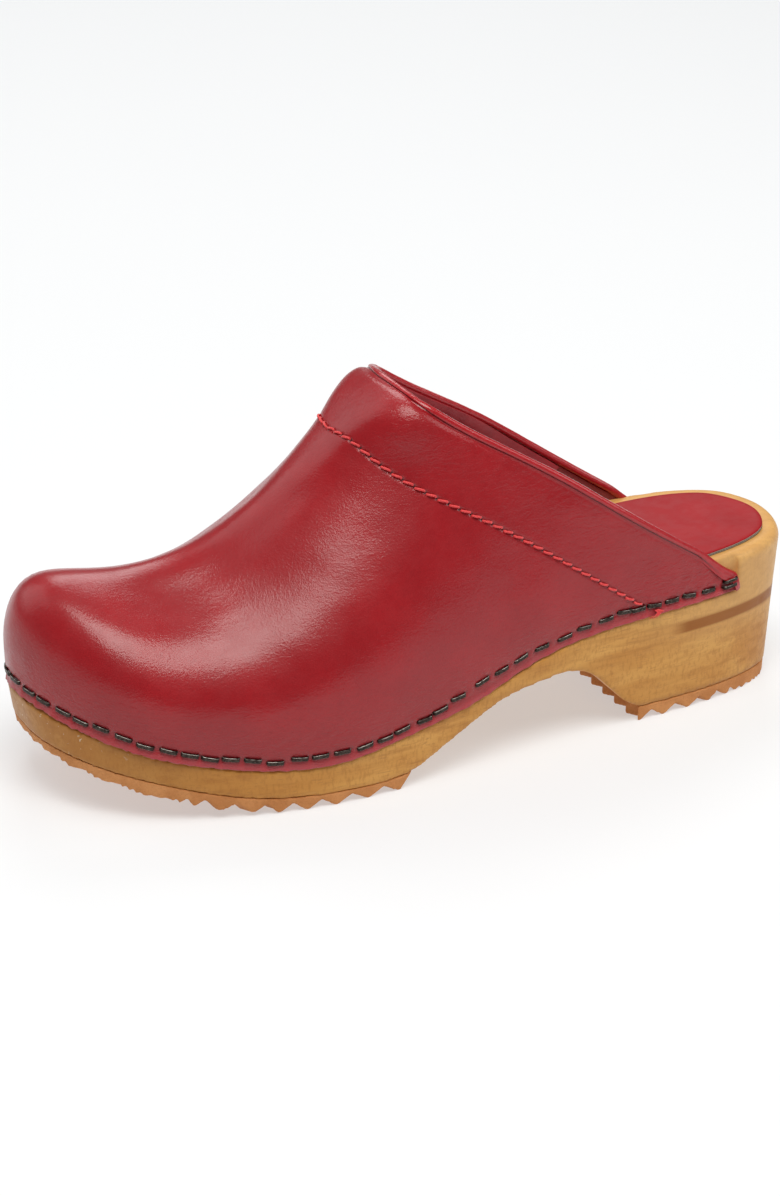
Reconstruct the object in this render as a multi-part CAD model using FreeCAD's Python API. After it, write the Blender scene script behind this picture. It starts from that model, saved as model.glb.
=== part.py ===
import FreeCAD, Part
import os
import math
from FreeCAD import Vector

os.makedirs("parts", exist_ok=True)

# Left wooden clog: toe towards -X, heel towards +X, outer side towards -Y, tread on z = 0.
# All sizes in millimetres.

# ---------------------------------------------------------------- driving dimensions
ORIGIN = (-6.5, 0.9, 0.0)     # moves the drawing's zero to the middle of the shoe's footprint
RIM_Z = 50.0                  # height of the heel's rim, where the plan outline is drawn
SIDE_LEAN = 0.03              # how far the wood's wall leans in per millimetre of depth
END_LEAN = 0.15               # extra lean at the tip of the toe and the back of the heel
RABBET = 2.15                 # depth of the step that takes the leather's lower edge
RABBET_END = 110.6            # where the step stops behind the leather's ends
RIM_RADIUS = 3.2              # rounding of the heel's top edge
GROOVE_Z = 29.6               # middle of the carved line round the heel
GROOVE_HALF = 2.5
GROOVE_DEPTH = 1.5
GROOVE_START = 88.0
GROOVE_RUNOUT = 35.0          # slope of its front ends, in degrees
CUT_BELOW = -2.0              # blanks and cutters start this far below the floor
WOOD_BLANK_TOP = 62.0         # and reach up to these heights before they are trimmed
CORE_TOP = 75.0
RUBBER_BLANK_TOP = 45.0
HEEL_RUBBER_TOP = 20.0
BAND_TOP = 60.0
PROFILE_LOW = -3.0            # lower and upper ends of the side profiles that trim them
PROFILE_HIGH = 70.0
STEP_TOP = 90.0               # top of the block that ends the step behind the leather
NOSE = 30.0                   # size of the block that slopes the groove's front ends
LEATHER = 1.8                 # outer leather
GAP = 0.1                     # clearance between layers
STIFFENER = 1.2
PAD_MAX = 2.6                 # collar padding at its thickest
LINING = 1.1
PAD_EDGE = 0.25               # padding at its thinnest, along its edges
PAD_TOP_GAP = 0.25            # collar layers stop this far below the topline
PAD_CLEARANCE = 2.8           # and this far above the footbed
COLLAR_END = 0.9              # how far round towards the leather's ends they go
STIFFENER_END = 0.36          # how far round the toe the stiffener goes
STIFFENER_CLEARANCE = 0.6
STIFFENER_TOP = 0.62          # how far up the leather it reaches at the toe's middle
STIFFENER_FALL = 0.9          # and how fast its top falls away to the sides
COLLAR_DEPTH = 21.6           # stitching line below the topline
LINING_DEPTH = 25.5           # lower edge of the collar lining below the topline
PIPING_R = 1.3
PIPING_GAP = 0.12             # gap between the piping and the leather's top edge
PIPING_IN = 1.3               # how far inside the leather's face the piping's middle lies
CORD_R = 0.7
STITCH_PITCH = 4.1
STITCH_LENGTH = 3.1
STITCH_R = 0.38
SEAM_REACH = 0.93             # the stitching is looked for up to here round the side
SEAM_CLEARANCE = 1.5          # and stops this far above the staple line
THREAD_R = 0.22
THREAD_TAILS = [(0.0, 1.6, 3.2), (0.006, 3.0, 2.2)]     # shift round the side, lean and drop
THREAD_TAIL_DROP = 2.6        # the tails start this far below the staple line
STAPLE_LINE = 3.5             # staple line above the leather's lower edge
STAPLE_CROWN = 5.6
STAPLE_WIDTH = 1.6
STAPLE_WIRE = 0.6
STAPLE_SINK = 0.2
STAPLE_LEG = 6.0
STAPLE_TURN = 4.0             # most that a staple is turned, in degrees
TURN_STEP = 3.1               # how fast that turn changes from one staple to the next
SOCK_INSET = 5.0
CUSHION = 0.9
SOCK = 0.6
HEEL_SEAM_Z = 5.0
BREAST = 73.0                 # foot of the heel's breast
FRONT = -140.0                # drawing limits, clear of the shoe on every side
BACK = 145.0
WIDE = 70.0
ZIG = 4.0                     # half period of the tread's zigzag across the shoe
ZIG_SHIFT = 1.3               # how far each half period runs fore and aft of its middle
COARSE_LAND = 1.1             # flat tips of the tread's ribs, and how deep the grooves are
COARSE_DEPTH = 2.7
FINE_LAND = 0.7
FINE_DEPTH = 0.9
FINE_PITCH = 2.6
FINE_GAP = 4.6                # from the last fine rib to the nearest coarse one
FINE_START = -127.5           # outermost fine ribs at the toe and at the back of the heel
FINE_END = 141.0
FORE_RIBS = [-83.4, -75.8, -67.7, -59, -49.3, -39.3, -28.6, -18.3]      # coarse ribs, by x
HEEL_RIBS = [73.2, 82.0, 90.8, 99.8, 109]
FORE_CEILING = 34.0           # top of the rubber block before the wood's bottom trims it
FORE_TAIL = 24.0              # how far its rear face slopes back over that height
FORE_HALF = 56.0              # half widths of the ribbed blocks before they are trimmed
HEEL_HALF = 44.0
RUBBER_INSET = 0.15           # the rubber is trimmed this far inside the wood

# Plan of the sole's top edge: x and half width, toe tip to heel back.
HALF_WIDTH = [
    (-127.8, 0), (-126.5, 8.8), (-121.8, 18.5), (-113.4, 28), (-99.8, 36.9), (-80, 43.7),
    (-55, 47.6), (-30, 47.6), (0, 43.2), (30, 38.2), (60, 35), (88, 33.6), (108, 31), (122, 26.8),
    (131.5, 20.6), (137.5, 11.2), (140, 0)]

# Side profile of the wood: x and z.
FOOTBED = [
    (-140, 48.5), (-110, 38.0), (-90, 31.5), (-66, 26.0), (-40, 23.5), (-20, 25.0), (0, 29.5),
    (20, 35.0), (40, 41.0), (60, 46.0), (80, 48.7), (100, 49.7), (145, 50.2)]
FEATHER = [
    (-140, 39), (-127.5, 34), (-122, 31.6), (-116.5, 29.5), (-109.2, 26.8), (-98.9, 23), (-88, 20),
    (-76.7, 17.5), (-64.7, 15.4), (-52.3, 14.3), (-39.4, 14.4), (-30, 15.6), (-18.8, 17.9),
    (-4, 20.7), (10.8, 24.1), (25.8, 28.9), (41, 33.2), (56, 35.6), (71, 36.9), (94, 37.4),
    (145, 38)]
BOTTOM = [
    (-140, 29), (-124, 22), (-113, 18), (-103, 15), (-91, 11.8), (-79, 8.7), (-67, 6.2),
    (-55, 4.8), (-43, 4.3), (-31, 4.1), (-21, 4.4), (-14, 5.4), (-9, 7.3), (-4, 9.9), (4, 13.9),
    (11, 17.3), (19, 20.8), (35, 23.6), (46, 24), (53, 21.6), (60, 15.5), (67, 8.4),
    (BREAST, HEEL_SEAM_Z)]
TREAD = [
    (-140, 29.5), (-127, 21.2), (-118, 16.4), (-106, 11.8), (-96.4, 8.5), (-83.4, 5.1),
    (-75.8, 3.1), (-67.7, 1.4), (-59, 0.3), (-52, 0)]

# Staples from the toe to the heel, the same on both sides: how far along the leather's lower
# edge on the outer side, and how high above it. They are set by hand, so neither is even.
STAPLES = [
    (3.3, 3.8), (10.6, 3.4), (17.1, 3.3), (25, 3.5), (31.4, 3.3), (38.6, 4.2), (46, 3.9),
    (52.7, 3.2), (59.9, 3.5), (66.4, 3.3), (72.6, 2.9), (78.9, 3.5), (85.7, 3.5), (92.8, 2.7),
    (100.4, 3.8), (107, 3.8), (114.1, 3.7), (121.8, 3.1), (128.9, 2.8), (134.9, 3.2), (143.2, 3),
    (148.9, 3.8), (155.2, 5.4), (164.3, 6.4), (172.4, 5.6), (180.4, 5.1), (188.8, 4.4),
    (197.8, 3.7), (204.7, 4.4), (212.9, 4.4), (219.4, 5), (225.1, 4.2), (231.5, 3.8), (238.5, 3.6),
    (245.5, 3.5), (254.1, 2.9)]
TOE_STAPLES = 60.0            # how far round the toe's own group of staples goes
END_STAPLES = [2.3, 4.2]      # heights of the pair that holds the piping's end down
END_STAPLE_GAP = 3.5

# The upper's control net. Each column runs from the lower edge to the topline, the first
# along the middle of the toe and instep, the last at the leather's end beside the heel.
# Each entry is x, half width and z, before the shoe's curve in plan is added.
COLUMN_AT = [0.0, 0.15, 0.32, 0.53, 0.635, 0.74, 0.91, 0.957, 1.0]
COLUMNS = [
    [(-125.2, 0, 34.1), (-126, 0, 40.8), (-127.5, 0, 54.1), (-119.1, 0, 70.7), (-100.2, 0, 68.5),
     (-72.3, 0, 67.5), (-43.9, 0, 85.6), (-25.4, 0, 102), (-13.9, 0, 115.2), (-5.9, 0, 119.9)],
    [(-109.6, 29.9, 27.1), (-110.6, 29.9, 35.6), (-111, 31.8, 46.3), (-102.7, 26.7, 61.7),
     (-84.9, 13.3, 61.4), (-62.8, 9.9, 69), (-37.5, 8.7, 87.7), (-21.2, 9.8, 104.7),
     (-11.2, 11.8, 116.4), (-3.7, 11.3, 118.6)],
    [(-82, 42.5, 18.8), (-81.8, 43, 25.7), (-82.2, 47, 35.7), (-74.1, 37.9, 51.9),
     (-57.6, 24.7, 62.5), (-42.5, 20.3, 76.5), (-25.2, 17.9, 92.2), (-12.1, 17.9, 105),
     (-4.6, 19.3, 113.2), (0.2, 19.8, 115.2)],
    [(-38, 47.3, 14.7), (-37.5, 47.6, 20.1), (-33.9, 49.9, 33.9), (-26.5, 45.3, 53.8),
     (-14.4, 37.6, 71.2), (-4.7, 32.1, 83.8), (3.1, 28.1, 93.9), (8.7, 25.9, 100.9),
     (12, 25.1, 103), (14.6, 25.1, 104.9)],
    [(-15.5, 45.2, 18.7), (-14.6, 45.4, 23.7), (-9.4, 46.3, 35.7), (-2.5, 43.2, 52.6),
     (7, 38, 68.9), (14.5, 33.7, 79.8), (20.3, 30.4, 88.5), (24.2, 28.4, 94.3), (26.4, 27.8, 95.1),
     (28.6, 27.8, 96.5)],
    [(10, 41, 24), (11, 41.1, 29.1), (14, 41.7, 38.9), (20, 39.4, 50.9), (27, 36.4, 63.9),
     (32.6, 34, 72.7), (37.4, 32, 80.1), (40.9, 30.8, 84.9), (42.6, 30.6, 85.4), (44.6, 30.8, 86.4)],
    [(60, 34.9, 36.2), (61, 35, 38.4), (63, 35.4, 42.9), (66, 35, 48), (69, 34.4, 53),
     (71.4, 33.9, 56.6), (73.7, 33.5, 59.8), (75.6, 33.3, 62), (76.4, 33.1, 62.3), (77.8, 33, 63.2)],
    [(86, 33.7, 37.5), (86.5, 33.5, 38.6), (87.7, 33.2, 41), (89, 32.9, 43.7), (90.3, 32.6, 46.5),
     (91.3, 32.3, 48.5), (92.2, 32.1, 50.4), (92.8, 31.9, 51.7), (93, 31.9, 52.1), (93.3, 31.8, 52.8)],
    [(109.6, 30.6, 37.8), (109.6, 30.6, 38.4), (109.5, 30.5, 39), (109.5, 30.5, 39.5),
     (109.5, 30.4, 40.1), (109.4, 30.4, 40.7), (109.4, 30.3, 41.3), (109.4, 30.3, 41.8),
     (109.3, 30.2, 42.4), (109.3, 30.2, 43)]]


OUTER = -1                    # sign of v and of y on the shoe's two sides
INNER = 1


# ---------------------------------------------------------------- curves
def spline(ts, vs):
    """Natural cubic spline through the values vs at ts."""
    n = len(ts)
    h = [ts[i + 1] - ts[i] for i in range(n - 1)]
    bend_at = [0.0] * n
    diag = [1.0] * n
    rhs = [0.0] * n
    for i in range(1, n - 1):
        diag[i] = 2.0 * (h[i - 1] + h[i])
        rhs[i] = 6.0 * ((vs[i + 1] - vs[i]) / h[i] - (vs[i] - vs[i - 1]) / h[i - 1])
    for i in range(2, n - 1):
        w = h[i - 1] / diag[i - 1]
        diag[i] -= w * h[i - 1]
        rhs[i] -= w * rhs[i - 1]
    for i in range(n - 2, 0, -1):
        bend_at[i] = (rhs[i] - h[i] * bend_at[i + 1]) / diag[i]

    def value(t):
        i = 0
        while i < n - 2 and t > ts[i + 1]:
            i += 1
        a = (ts[i + 1] - t) / h[i]
        b = 1.0 - a
        curved = (a ** 3 - a) * bend_at[i] + (b ** 3 - b) * bend_at[i + 1]
        return a * vs[i] + b * vs[i + 1] + curved * h[i] ** 2 / 6.0

    return value


def height(points):
    return spline([p[0] for p in points], [p[1] for p in points])


footbed_z = height(FOOTBED)
feather_z = height(FEATHER)
bottom_z = height(BOTTOM)


def plan_bend(x):
    """Sideways curve of a left shoe's centre line."""
    return -2.9 + 4.2e-4 * (x - 25.0) ** 2


# ---------------------------------------------------------------- plan outline and wood prism
def outline_curve():
    right = [Vector(x, w, 0) for x, w in HALF_WIDTH]
    left = [Vector(x, -w, 0) for x, w in HALF_WIDTH[-2:0:-1]]
    curve = Part.BSplineCurve()
    curve.interpolate(Points=right + left, PeriodicFlag=True)
    return curve


PLAN = outline_curve()


def outline_wire(z, inset=0.0):
    """Closed outline at height z, leaning in below the rim and moved in by inset."""
    pts = []
    steps = 72
    first, last = PLAN.FirstParameter, PLAN.LastParameter
    for i in range(steps):
        t = first + (last - first) * i / steps
        p = PLAN.value(t)
        d = PLAN.tangent(t)[0]
        n = Vector(-d.y, d.x, 0)
        if n.x * (p.x - 4.0) + n.y * p.y < 0:
            n = -n
        lean = SIDE_LEAN + END_LEAN * n.x ** 4
        q = p - n * (inset + lean * (RIM_Z - z))
        pts.append(Vector(q.x, q.y + plan_bend(q.x), z))
    curve = Part.BSplineCurve()
    curve.interpolate(Points=pts, PeriodicFlag=True)
    return Part.Wire(curve.toShape())


def plan_prism(z0, z1, inset0=0.0, inset1=None):
    if inset1 is None:
        inset1 = inset0
    return Part.makeLoft([outline_wire(z0, inset0), outline_wire(z1, inset1)], True, True)


def side_prism(wire_edges):
    """Solid across the whole shoe from a closed outline drawn in the XZ plane at y = -WIDE."""
    face = Part.Face(Part.Wire(wire_edges))
    return face.extrude(Vector(0, 2 * WIDE, 0))


def side_curve(points, dz=0.0):
    curve = Part.BSplineCurve()
    curve.interpolate([Vector(x, -WIDE, z + dz) for x, z in points])
    return curve.toShape()


def side_line(x0, z0, x1, z1):
    return Part.makeLine(Vector(x0, -WIDE, z0), Vector(x1, -WIDE, z1))


# ---------------------------------------------------------------- the upper's surface
def net_splines():
    ats = [-t for t in COLUMN_AT[:0:-1]] + COLUMN_AT
    rows = []
    for r in range(len(COLUMNS[0])):
        near = [(c[r][0], -c[r][1], c[r][2]) for c in COLUMNS[:0:-1]]
        row = near + [c[r] for c in COLUMNS]
        rows.append([spline(ats, [p[a] for p in row]) for a in range(3)])
    return rows


NET = net_splines()
KNOTS = [0, 0, 0, 0, 0.2, 0.4, 0.6, 0.8, 0.88, 0.94, 1, 1, 1, 1]
SPANS = len(KNOTS) - 1


def weights(u):
    u = min(max(u, 0.0), 1.0 - 1e-12)
    b = [1.0 if KNOTS[i] <= u < KNOTS[i + 1] else 0.0 for i in range(SPANS)]
    for k in (1, 2, 3):
        nxt = []
        for i in range(SPANS - k):
            a = c = 0.0
            if KNOTS[i + k] > KNOTS[i]:
                a = (u - KNOTS[i]) / (KNOTS[i + k] - KNOTS[i]) * b[i]
            if KNOTS[i + k + 1] > KNOTS[i + 1]:
                c = (KNOTS[i + k + 1] - u) / (KNOTS[i + k + 1] - KNOTS[i + 1]) * b[i + 1]
            nxt.append(a + c)
        b = nxt
    return b


def column_points(v):
    return [[f(v) for f in row] for row in NET]


def leather_point(u, v, column=None):
    """Outer face of the leather: u from lower edge to topline, v from outer to inner end."""
    col = column or column_points(v)
    w = weights(u)
    x, y, z = [sum(a * p[k] for a, p in zip(w, col)) for k in range(3)]
    return Vector(x, y + plan_bend(x), z)


def leather_frame(u, v):
    """Point, outward normal, direction along the shoe's edge and direction up the leather."""
    e = 2e-3
    u0, u1 = max(u - e, 0.0), min(u + e, 1.0)
    v0, v1 = max(v - e, -1.0), min(v + e, 1.0)
    up = leather_point(u1, v) - leather_point(u0, v)
    along = leather_point(u, v1) - leather_point(u, v0)
    up.normalize()
    along.normalize()
    normal = up.cross(along)
    normal.normalize()
    return leather_point(u, v), normal, along, up


def leather_offset(u, v, depth):
    p, n, along, up = leather_frame(u, v)
    return p - n * depth


def u_at_length(v, length, from_top=False):
    """Parameter at a distance along the leather from its lower edge or its topline."""
    col = column_points(v)
    steps = 80
    order = range(steps, -1, -1) if from_top else range(steps + 1)
    last = None
    run = 0.0
    for i in order:
        p = leather_point(i / steps, v, col)
        if last is not None:
            step = p.distanceToPoint(last)
            if run + step >= length:
                part = (length - run) / step
                return (i + 1 - part) / steps if from_top else (i - 1 + part) / steps
            run += step
        last = p
    return 0.0 if from_top else 1.0


def u_at_clearance(v, above):
    """Lowest parameter whose point stands a given height above the footbed."""
    col = column_points(v)
    for i in range(201):
        p = leather_point(i / 200.0, v, col)
        if p.z >= footbed_z(p.x) + above:
            return i / 200.0
    return 1.0


def surface_of(grid):
    surf = Part.BSplineSurface()
    surf.interpolate(grid)
    return surf


def closed_solid(faces):
    shell = Part.makeShell(faces)
    shell.sewShape(1e-4)
    solid = Part.Solid(Part.Shell(shell.Faces))
    if solid.Volume < 0:
        solid.reverse()
    return solid


def sheet_solid(outer, inner):
    """Closed solid between two grids of points."""
    so = surface_of(outer)
    si = surface_of(inner)
    faces = [so.toShape(), si.toShape()]
    uo0, uo1, vo0, vo1 = so.bounds()
    ui0, ui1, vi0, vi1 = si.bounds()
    pairs = [
        (so.uIso(uo0), si.uIso(ui0)), (so.uIso(uo1), si.uIso(ui1)),
        (so.vIso(vo0), si.vIso(vi0)), (so.vIso(vo1), si.vIso(vi1))]
    for a, b in pairs:
        faces.append(Part.makeRuledSurface(a.toShape(), b.toShape()))
    return closed_solid(faces)


def spread(a, b, n):
    return [a + (b - a) * i / (n - 1) for i in range(n)]


# ---------------------------------------------------------------- pieces
def make_wood():
    prism = plan_prism(CUT_BELOW, WOOD_BLANK_TOP)
    profile = [
        side_curve(BOTTOM), side_line(BREAST, HEEL_SEAM_Z, BACK, HEEL_SEAM_Z),
        side_line(BACK, HEEL_SEAM_Z, BACK, footbed_z(BACK)), side_curve(FOOTBED),
        side_line(FRONT, FOOTBED[0][1], FRONT, BOTTOM[0][1])]
    wood = prism.common(side_prism(profile))
    rim = [e for e in wood.Edges if rim_edge(e)]
    wood = wood.makeFillet(RIM_RADIUS, rim)
    step = side_prism([
        side_curve(FEATHER), side_line(BACK, FEATHER[-1][1], BACK, PROFILE_HIGH),
        side_line(BACK, PROFILE_HIGH, FRONT, PROFILE_HIGH),
        side_line(FRONT, PROFILE_HIGH, FRONT, FEATHER[0][1])])
    front = Part.makeBox(RABBET_END - FRONT, 2 * WIDE, STEP_TOP, Vector(FRONT, -WIDE, 0))
    core = plan_prism(CUT_BELOW, CORE_TOP, RABBET)
    wood = wood.cut(step.common(front).cut(core))
    return wood.cut(heel_groove())


def rim_edge(edge):
    """The wood's top edge, which lies on the footbed curve and follows the plan outline."""
    box = edge.BoundBox
    mid = edge.valueAt((edge.FirstParameter + edge.LastParameter) / 2.0)
    on_top = abs(mid.z - footbed_z(mid.x)) < 0.3
    return on_top and box.YLength > 20 and box.XLength > 20


def heel_groove():
    """Carved V line round the back of the heel, running out at its front ends."""
    low = GROOVE_Z - GROOVE_HALF
    high = GROOVE_Z + GROOVE_HALF
    slab = Part.makeBox(BACK - GROOVE_START, 2 * WIDE, high - low, Vector(GROOVE_START, -WIDE, low))
    below = plan_prism(low - 0.01, GROOVE_Z, -0.02, GROOVE_DEPTH)
    above = plan_prism(GROOVE_Z, high + 0.01, GROOVE_DEPTH, -0.02)
    groove = slab.cut(below).cut(above)
    nose = Part.makeBox(NOSE, 2 * WIDE, NOSE, Vector(-NOSE, -WIDE, -NOSE / 2))
    nose.rotate(Vector(0, 0, 0), Vector(0, 1, 0), GROOVE_RUNOUT)
    nose.translate(Vector(GROOVE_START, 0, GROOVE_Z))
    return groove.cut(nose)


def rib_profile(ribs, ceiling, tail):
    """Side outline of a ribbed rubber sheet: x, tip z, tip width and groove depth per rib.
    Its rear face slopes back by tail over the sheet's height."""
    pts = []
    for i, (x, z, land, depth) in enumerate(ribs):
        pts.append((x - land / 2, z))
        pts.append((x + land / 2, z))
        if i < len(ribs) - 1:
            nx, nz, depth_after = ribs[i + 1][0], ribs[i + 1][1], ribs[i + 1][3]
            pts.append(((x + nx) / 2.0, (z + nz + depth + depth_after) / 2.0))
    pts.append((pts[-1][0] + tail, ceiling))
    pts.append((pts[0][0], ceiling))
    return pts


def zigzag_block(profile, half_width):
    """Sheared strips of the profile side by side, so that its ribs run in a zigzag."""
    faces = []
    strips = int(math.ceil(2 * half_width / ZIG))
    n = len(profile)

    def at(j, k):
        x, z = profile[j]
        shift = ZIG_SHIFT if k % 2 else -ZIG_SHIFT
        return Vector(x + shift, -half_width + k * ZIG, z)

    for k in range(strips):
        for j in range(n):
            m = (j + 1) % n
            ring = [at(j, k), at(m, k), at(m, k + 1), at(j, k + 1)]
            faces.append(Part.Face(Part.makePolygon(ring + ring[:1])))
    for k in (0, strips):
        ring = [at(j, k) for j in range(n)]
        faces.append(Part.Face(Part.makePolygon(ring + ring[:1])))
    return closed_solid(faces)


def forefoot_ribs():
    """Fine ribs round the toe, then coarse ones under the ball; they rise with the toe spring."""
    tread = height(TREAD)
    ribs = []
    x = FINE_START
    while x < FORE_RIBS[0] - FINE_GAP:
        ribs.append((x, tread(x), FINE_LAND, FINE_DEPTH))
        x += FINE_PITCH
    for x in FORE_RIBS:
        ribs.append((x, tread(x) if x < TREAD[-1][0] else 0.0, COARSE_LAND, COARSE_DEPTH))
    return ribs


def heel_ribs():
    """Coarse ribs behind the breast, then fine ones round the back."""
    ribs = [(x, 0.0, COARSE_LAND, COARSE_DEPTH) for x in HEEL_RIBS]
    x = HEEL_RIBS[-1] + FINE_GAP
    while x < FINE_END:
        ribs.append((x, 0.0, FINE_LAND, FINE_DEPTH))
        x += FINE_PITCH
    return ribs


def make_forefoot_outsole():
    block = zigzag_block(rib_profile(forefoot_ribs(), FORE_CEILING, FORE_TAIL), FORE_HALF)
    region = side_prism([
        side_curve(BOTTOM), side_line(BREAST, HEEL_SEAM_Z, BREAST, PROFILE_LOW),
        side_line(BREAST, PROFILE_LOW, FRONT, PROFILE_LOW),
        side_line(FRONT, PROFILE_LOW, FRONT, BOTTOM[0][1])])
    return block.common(region).common(plan_prism(CUT_BELOW, RUBBER_BLANK_TOP, RUBBER_INSET))


def make_heel_outsole():
    block = zigzag_block(rib_profile(heel_ribs(), HEEL_SEAM_Z, 0.0), HEEL_HALF)
    return block.common(plan_prism(CUT_BELOW, HEEL_RUBBER_TOP, RUBBER_INSET))


def make_upper():
    vs = spread(-1.0, 1.0, 61)
    us = spread(0.0, 1.0, 23)
    outer = [[leather_point(u, v) for v in vs] for u in us]
    inner = [[leather_offset(u, v, LEATHER) for v in vs] for u in us]
    return sheet_solid(outer, inner)


def pad_depth(w):
    """Padding thickness across the collar, w from its lower edge to the topline."""
    return PAD_EDGE + PAD_MAX * math.sin(math.pi * w) ** 0.8


def collar_span(v):
    low = max(u_at_length(v, LINING_DEPTH, True), u_at_clearance(v, PAD_CLEARANCE))
    return low, u_at_length(v, PAD_TOP_GAP, True)


def make_collar(kind):
    vs = spread(-COLLAR_END, COLLAR_END, 49)
    ws = spread(0.0, 1.0, 11)
    outer, inner = [], []
    for w in ws:
        row_out, row_in = [], []
        for v in vs:
            low, high = collar_span(v)
            u = low + (high - low) * w
            pad = pad_depth(w)
            near = LEATHER + GAP
            if kind == "lining":
                near += pad + GAP
                far = near + LINING
            else:
                far = near + pad
            row_out.append(leather_offset(u, v, near))
            row_in.append(leather_offset(u, v, far))
        outer.append(row_out)
        inner.append(row_in)
    return sheet_solid(outer, inner)


def make_stiffener():
    vs = spread(-STIFFENER_END, STIFFENER_END, 25)
    ws = spread(0.0, 1.0, 9)
    outer, inner = [], []
    for w in ws:
        row_out, row_in = [], []
        for v in vs:
            low = u_at_clearance(v, STIFFENER_CLEARANCE)
            high = STIFFENER_TOP - STIFFENER_FALL * v * v
            u = low + (high - low) * w
            row_out.append(leather_offset(u, v, LEATHER + GAP))
            row_in.append(leather_offset(u, v, LEATHER + GAP + STIFFENER))
        outer.append(row_out)
        inner.append(row_in)
    return sheet_solid(outer, inner)


def piping_rings(radius, steps=14):
    """Rings of points round the bead that covers the topline, one ring per station."""
    rings = []
    for v in spread(-1.0, 1.0, 65):
        p, n, along, up = leather_frame(1.0, v)
        middle = p + up * (PIPING_R + PIPING_GAP) - n * PIPING_IN
        turns = [2.0 * math.pi * (i % steps) / steps for i in range(steps + 1)]
        rings.append([middle + (up * math.cos(a) + n * math.sin(a)) * radius for a in turns])
    return rings


def tube_skin(rings):
    """Tube's wall and the wires at its two ends."""
    surf = surface_of(rings)
    u0, u1, v0, v1 = surf.bounds()
    ends = [Part.Wire(surf.uIso(u).toShape()) for u in (u0, u1)]
    return surf.toShape(), ends


def solid_tube(rings):
    wall, ends = tube_skin(rings)
    return closed_solid([wall] + [Part.Face(w) for w in ends])


def hollow_tube(outer, inner):
    wall_out, ends_out = tube_skin(outer)
    wall_in, ends_in = tube_skin(inner)
    caps = [Part.Face(a).cut(Part.Face(b)).Faces[0] for a, b in zip(ends_out, ends_in)]
    return closed_solid([wall_out, wall_in] + caps)


def strand(points, radius):
    """Short bent thread through three points."""
    curve = Part.BSplineCurve()
    curve.interpolate(points)
    rings = []
    side = (points[2] - points[0]).cross(points[1] - points[0])
    side.normalize()
    for t in spread(curve.FirstParameter, curve.LastParameter, 7):
        across = curve.tangent(t)[0].cross(side)
        turns = [2.0 * math.pi * (i % 8) / 8 for i in range(9)]
        rings.append([curve.value(t) + (side * math.cos(a) + across * math.sin(a)) * radius for a in turns])
    return solid_tube(rings)


def box_on(p, n, along, up, size, centre):
    """Box with its sides along, up and n; size and centre are given in that order."""
    body = Part.makeBox(size[0], size[1], size[2])
    body.translate(Vector(-size[0] / 2, -size[1] / 2, -size[2] / 2))
    body.translate(Vector(*centre))
    m = FreeCAD.Matrix(
        along.x, up.x, n.x, p.x,
        along.y, up.y, n.y, p.y,
        along.z, up.z, n.z, p.z,
        0, 0, 0, 1)
    body.Placement = FreeCAD.Placement(m).multiply(body.Placement)
    return body


def square_frame(u, v, turn=0.0):
    """The surface's frame made square, turned about its normal by an angle in degrees."""
    p, n, along, up = leather_frame(u, v)
    up = n.cross(along) * -1
    if up.z < 0:
        up = up * -1
    along = up.cross(n)
    a = math.radians(turn)
    lay = along * math.cos(a) + up * math.sin(a)
    rise = n.cross(lay)
    return p, n, lay, rise


def staple(u, v, turn):
    p, n, lay, rise = square_frame(u, v, turn)
    top = STAPLE_WIRE - STAPLE_SINK
    crown = box_on(p, n, lay, rise, (STAPLE_CROWN, STAPLE_WIDTH, STAPLE_WIRE),
                   (0, 0, top - STAPLE_WIRE / 2))
    legs = []
    for side in (-1, 1):
        shift = side * (STAPLE_CROWN - STAPLE_WIRE) / 2
        legs.append(box_on(p, n, lay, rise, (STAPLE_WIRE, STAPLE_WIDTH, STAPLE_LEG),
                           (shift, 0, top - STAPLE_LEG / 2)))
    return crown.fuse(legs).removeSplitter()


def edge_table(side):
    """Length along one side's lower leather edge from the toe, with its parameter."""
    table = [(0.0, 0.0)]
    last = leather_point(0.0, 0.0)
    for i in range(1, 201):
        v = side * i / 200.0
        p = leather_point(0.0, v)
        table.append((table[-1][0] + p.distanceToPoint(last), v))
        last = p
    return table


EDGES = {OUTER: edge_table(OUTER), INNER: edge_table(INNER)}


def v_at_edge(side, length):
    """Parameter at a length along one side's lower edge."""
    table = EDGES[side]
    for (l0, v0), (l1, v1) in zip(table, table[1:]):
        if length <= l1:
            return v0 + (v1 - v0) * (length - l0) / (l1 - l0)
    return table[-1][1]


def staple_rows():
    """Staple solids by group: toe, outer side, inner side and the doubled end ones."""
    groups = {"staples_toe": [], "staples_outer": [], "staples_inner": [], "end_staples": []}
    for side, side_name in ((OUTER, "staples_outer"), (INNER, "staples_inner")):
        edge_length = EDGES[side][-1][0]
        stretch = edge_length / EDGES[OUTER][-1][0]
        for i, (at, above) in enumerate(STAPLES):
            v = v_at_edge(side, at * stretch)
            turn = STAPLE_TURN * math.sin(TURN_STEP * i * side)
            name = "staples_toe" if at <= TOE_STAPLES else side_name
            groups[name].append(staple(u_at_length(v, above), v, turn))
        v = v_at_edge(side, edge_length - END_STAPLE_GAP)
        for above in END_STAPLES:
            groups["end_staples"].append(staple(u_at_length(v, above), v, 0.0))
    return groups


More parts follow.
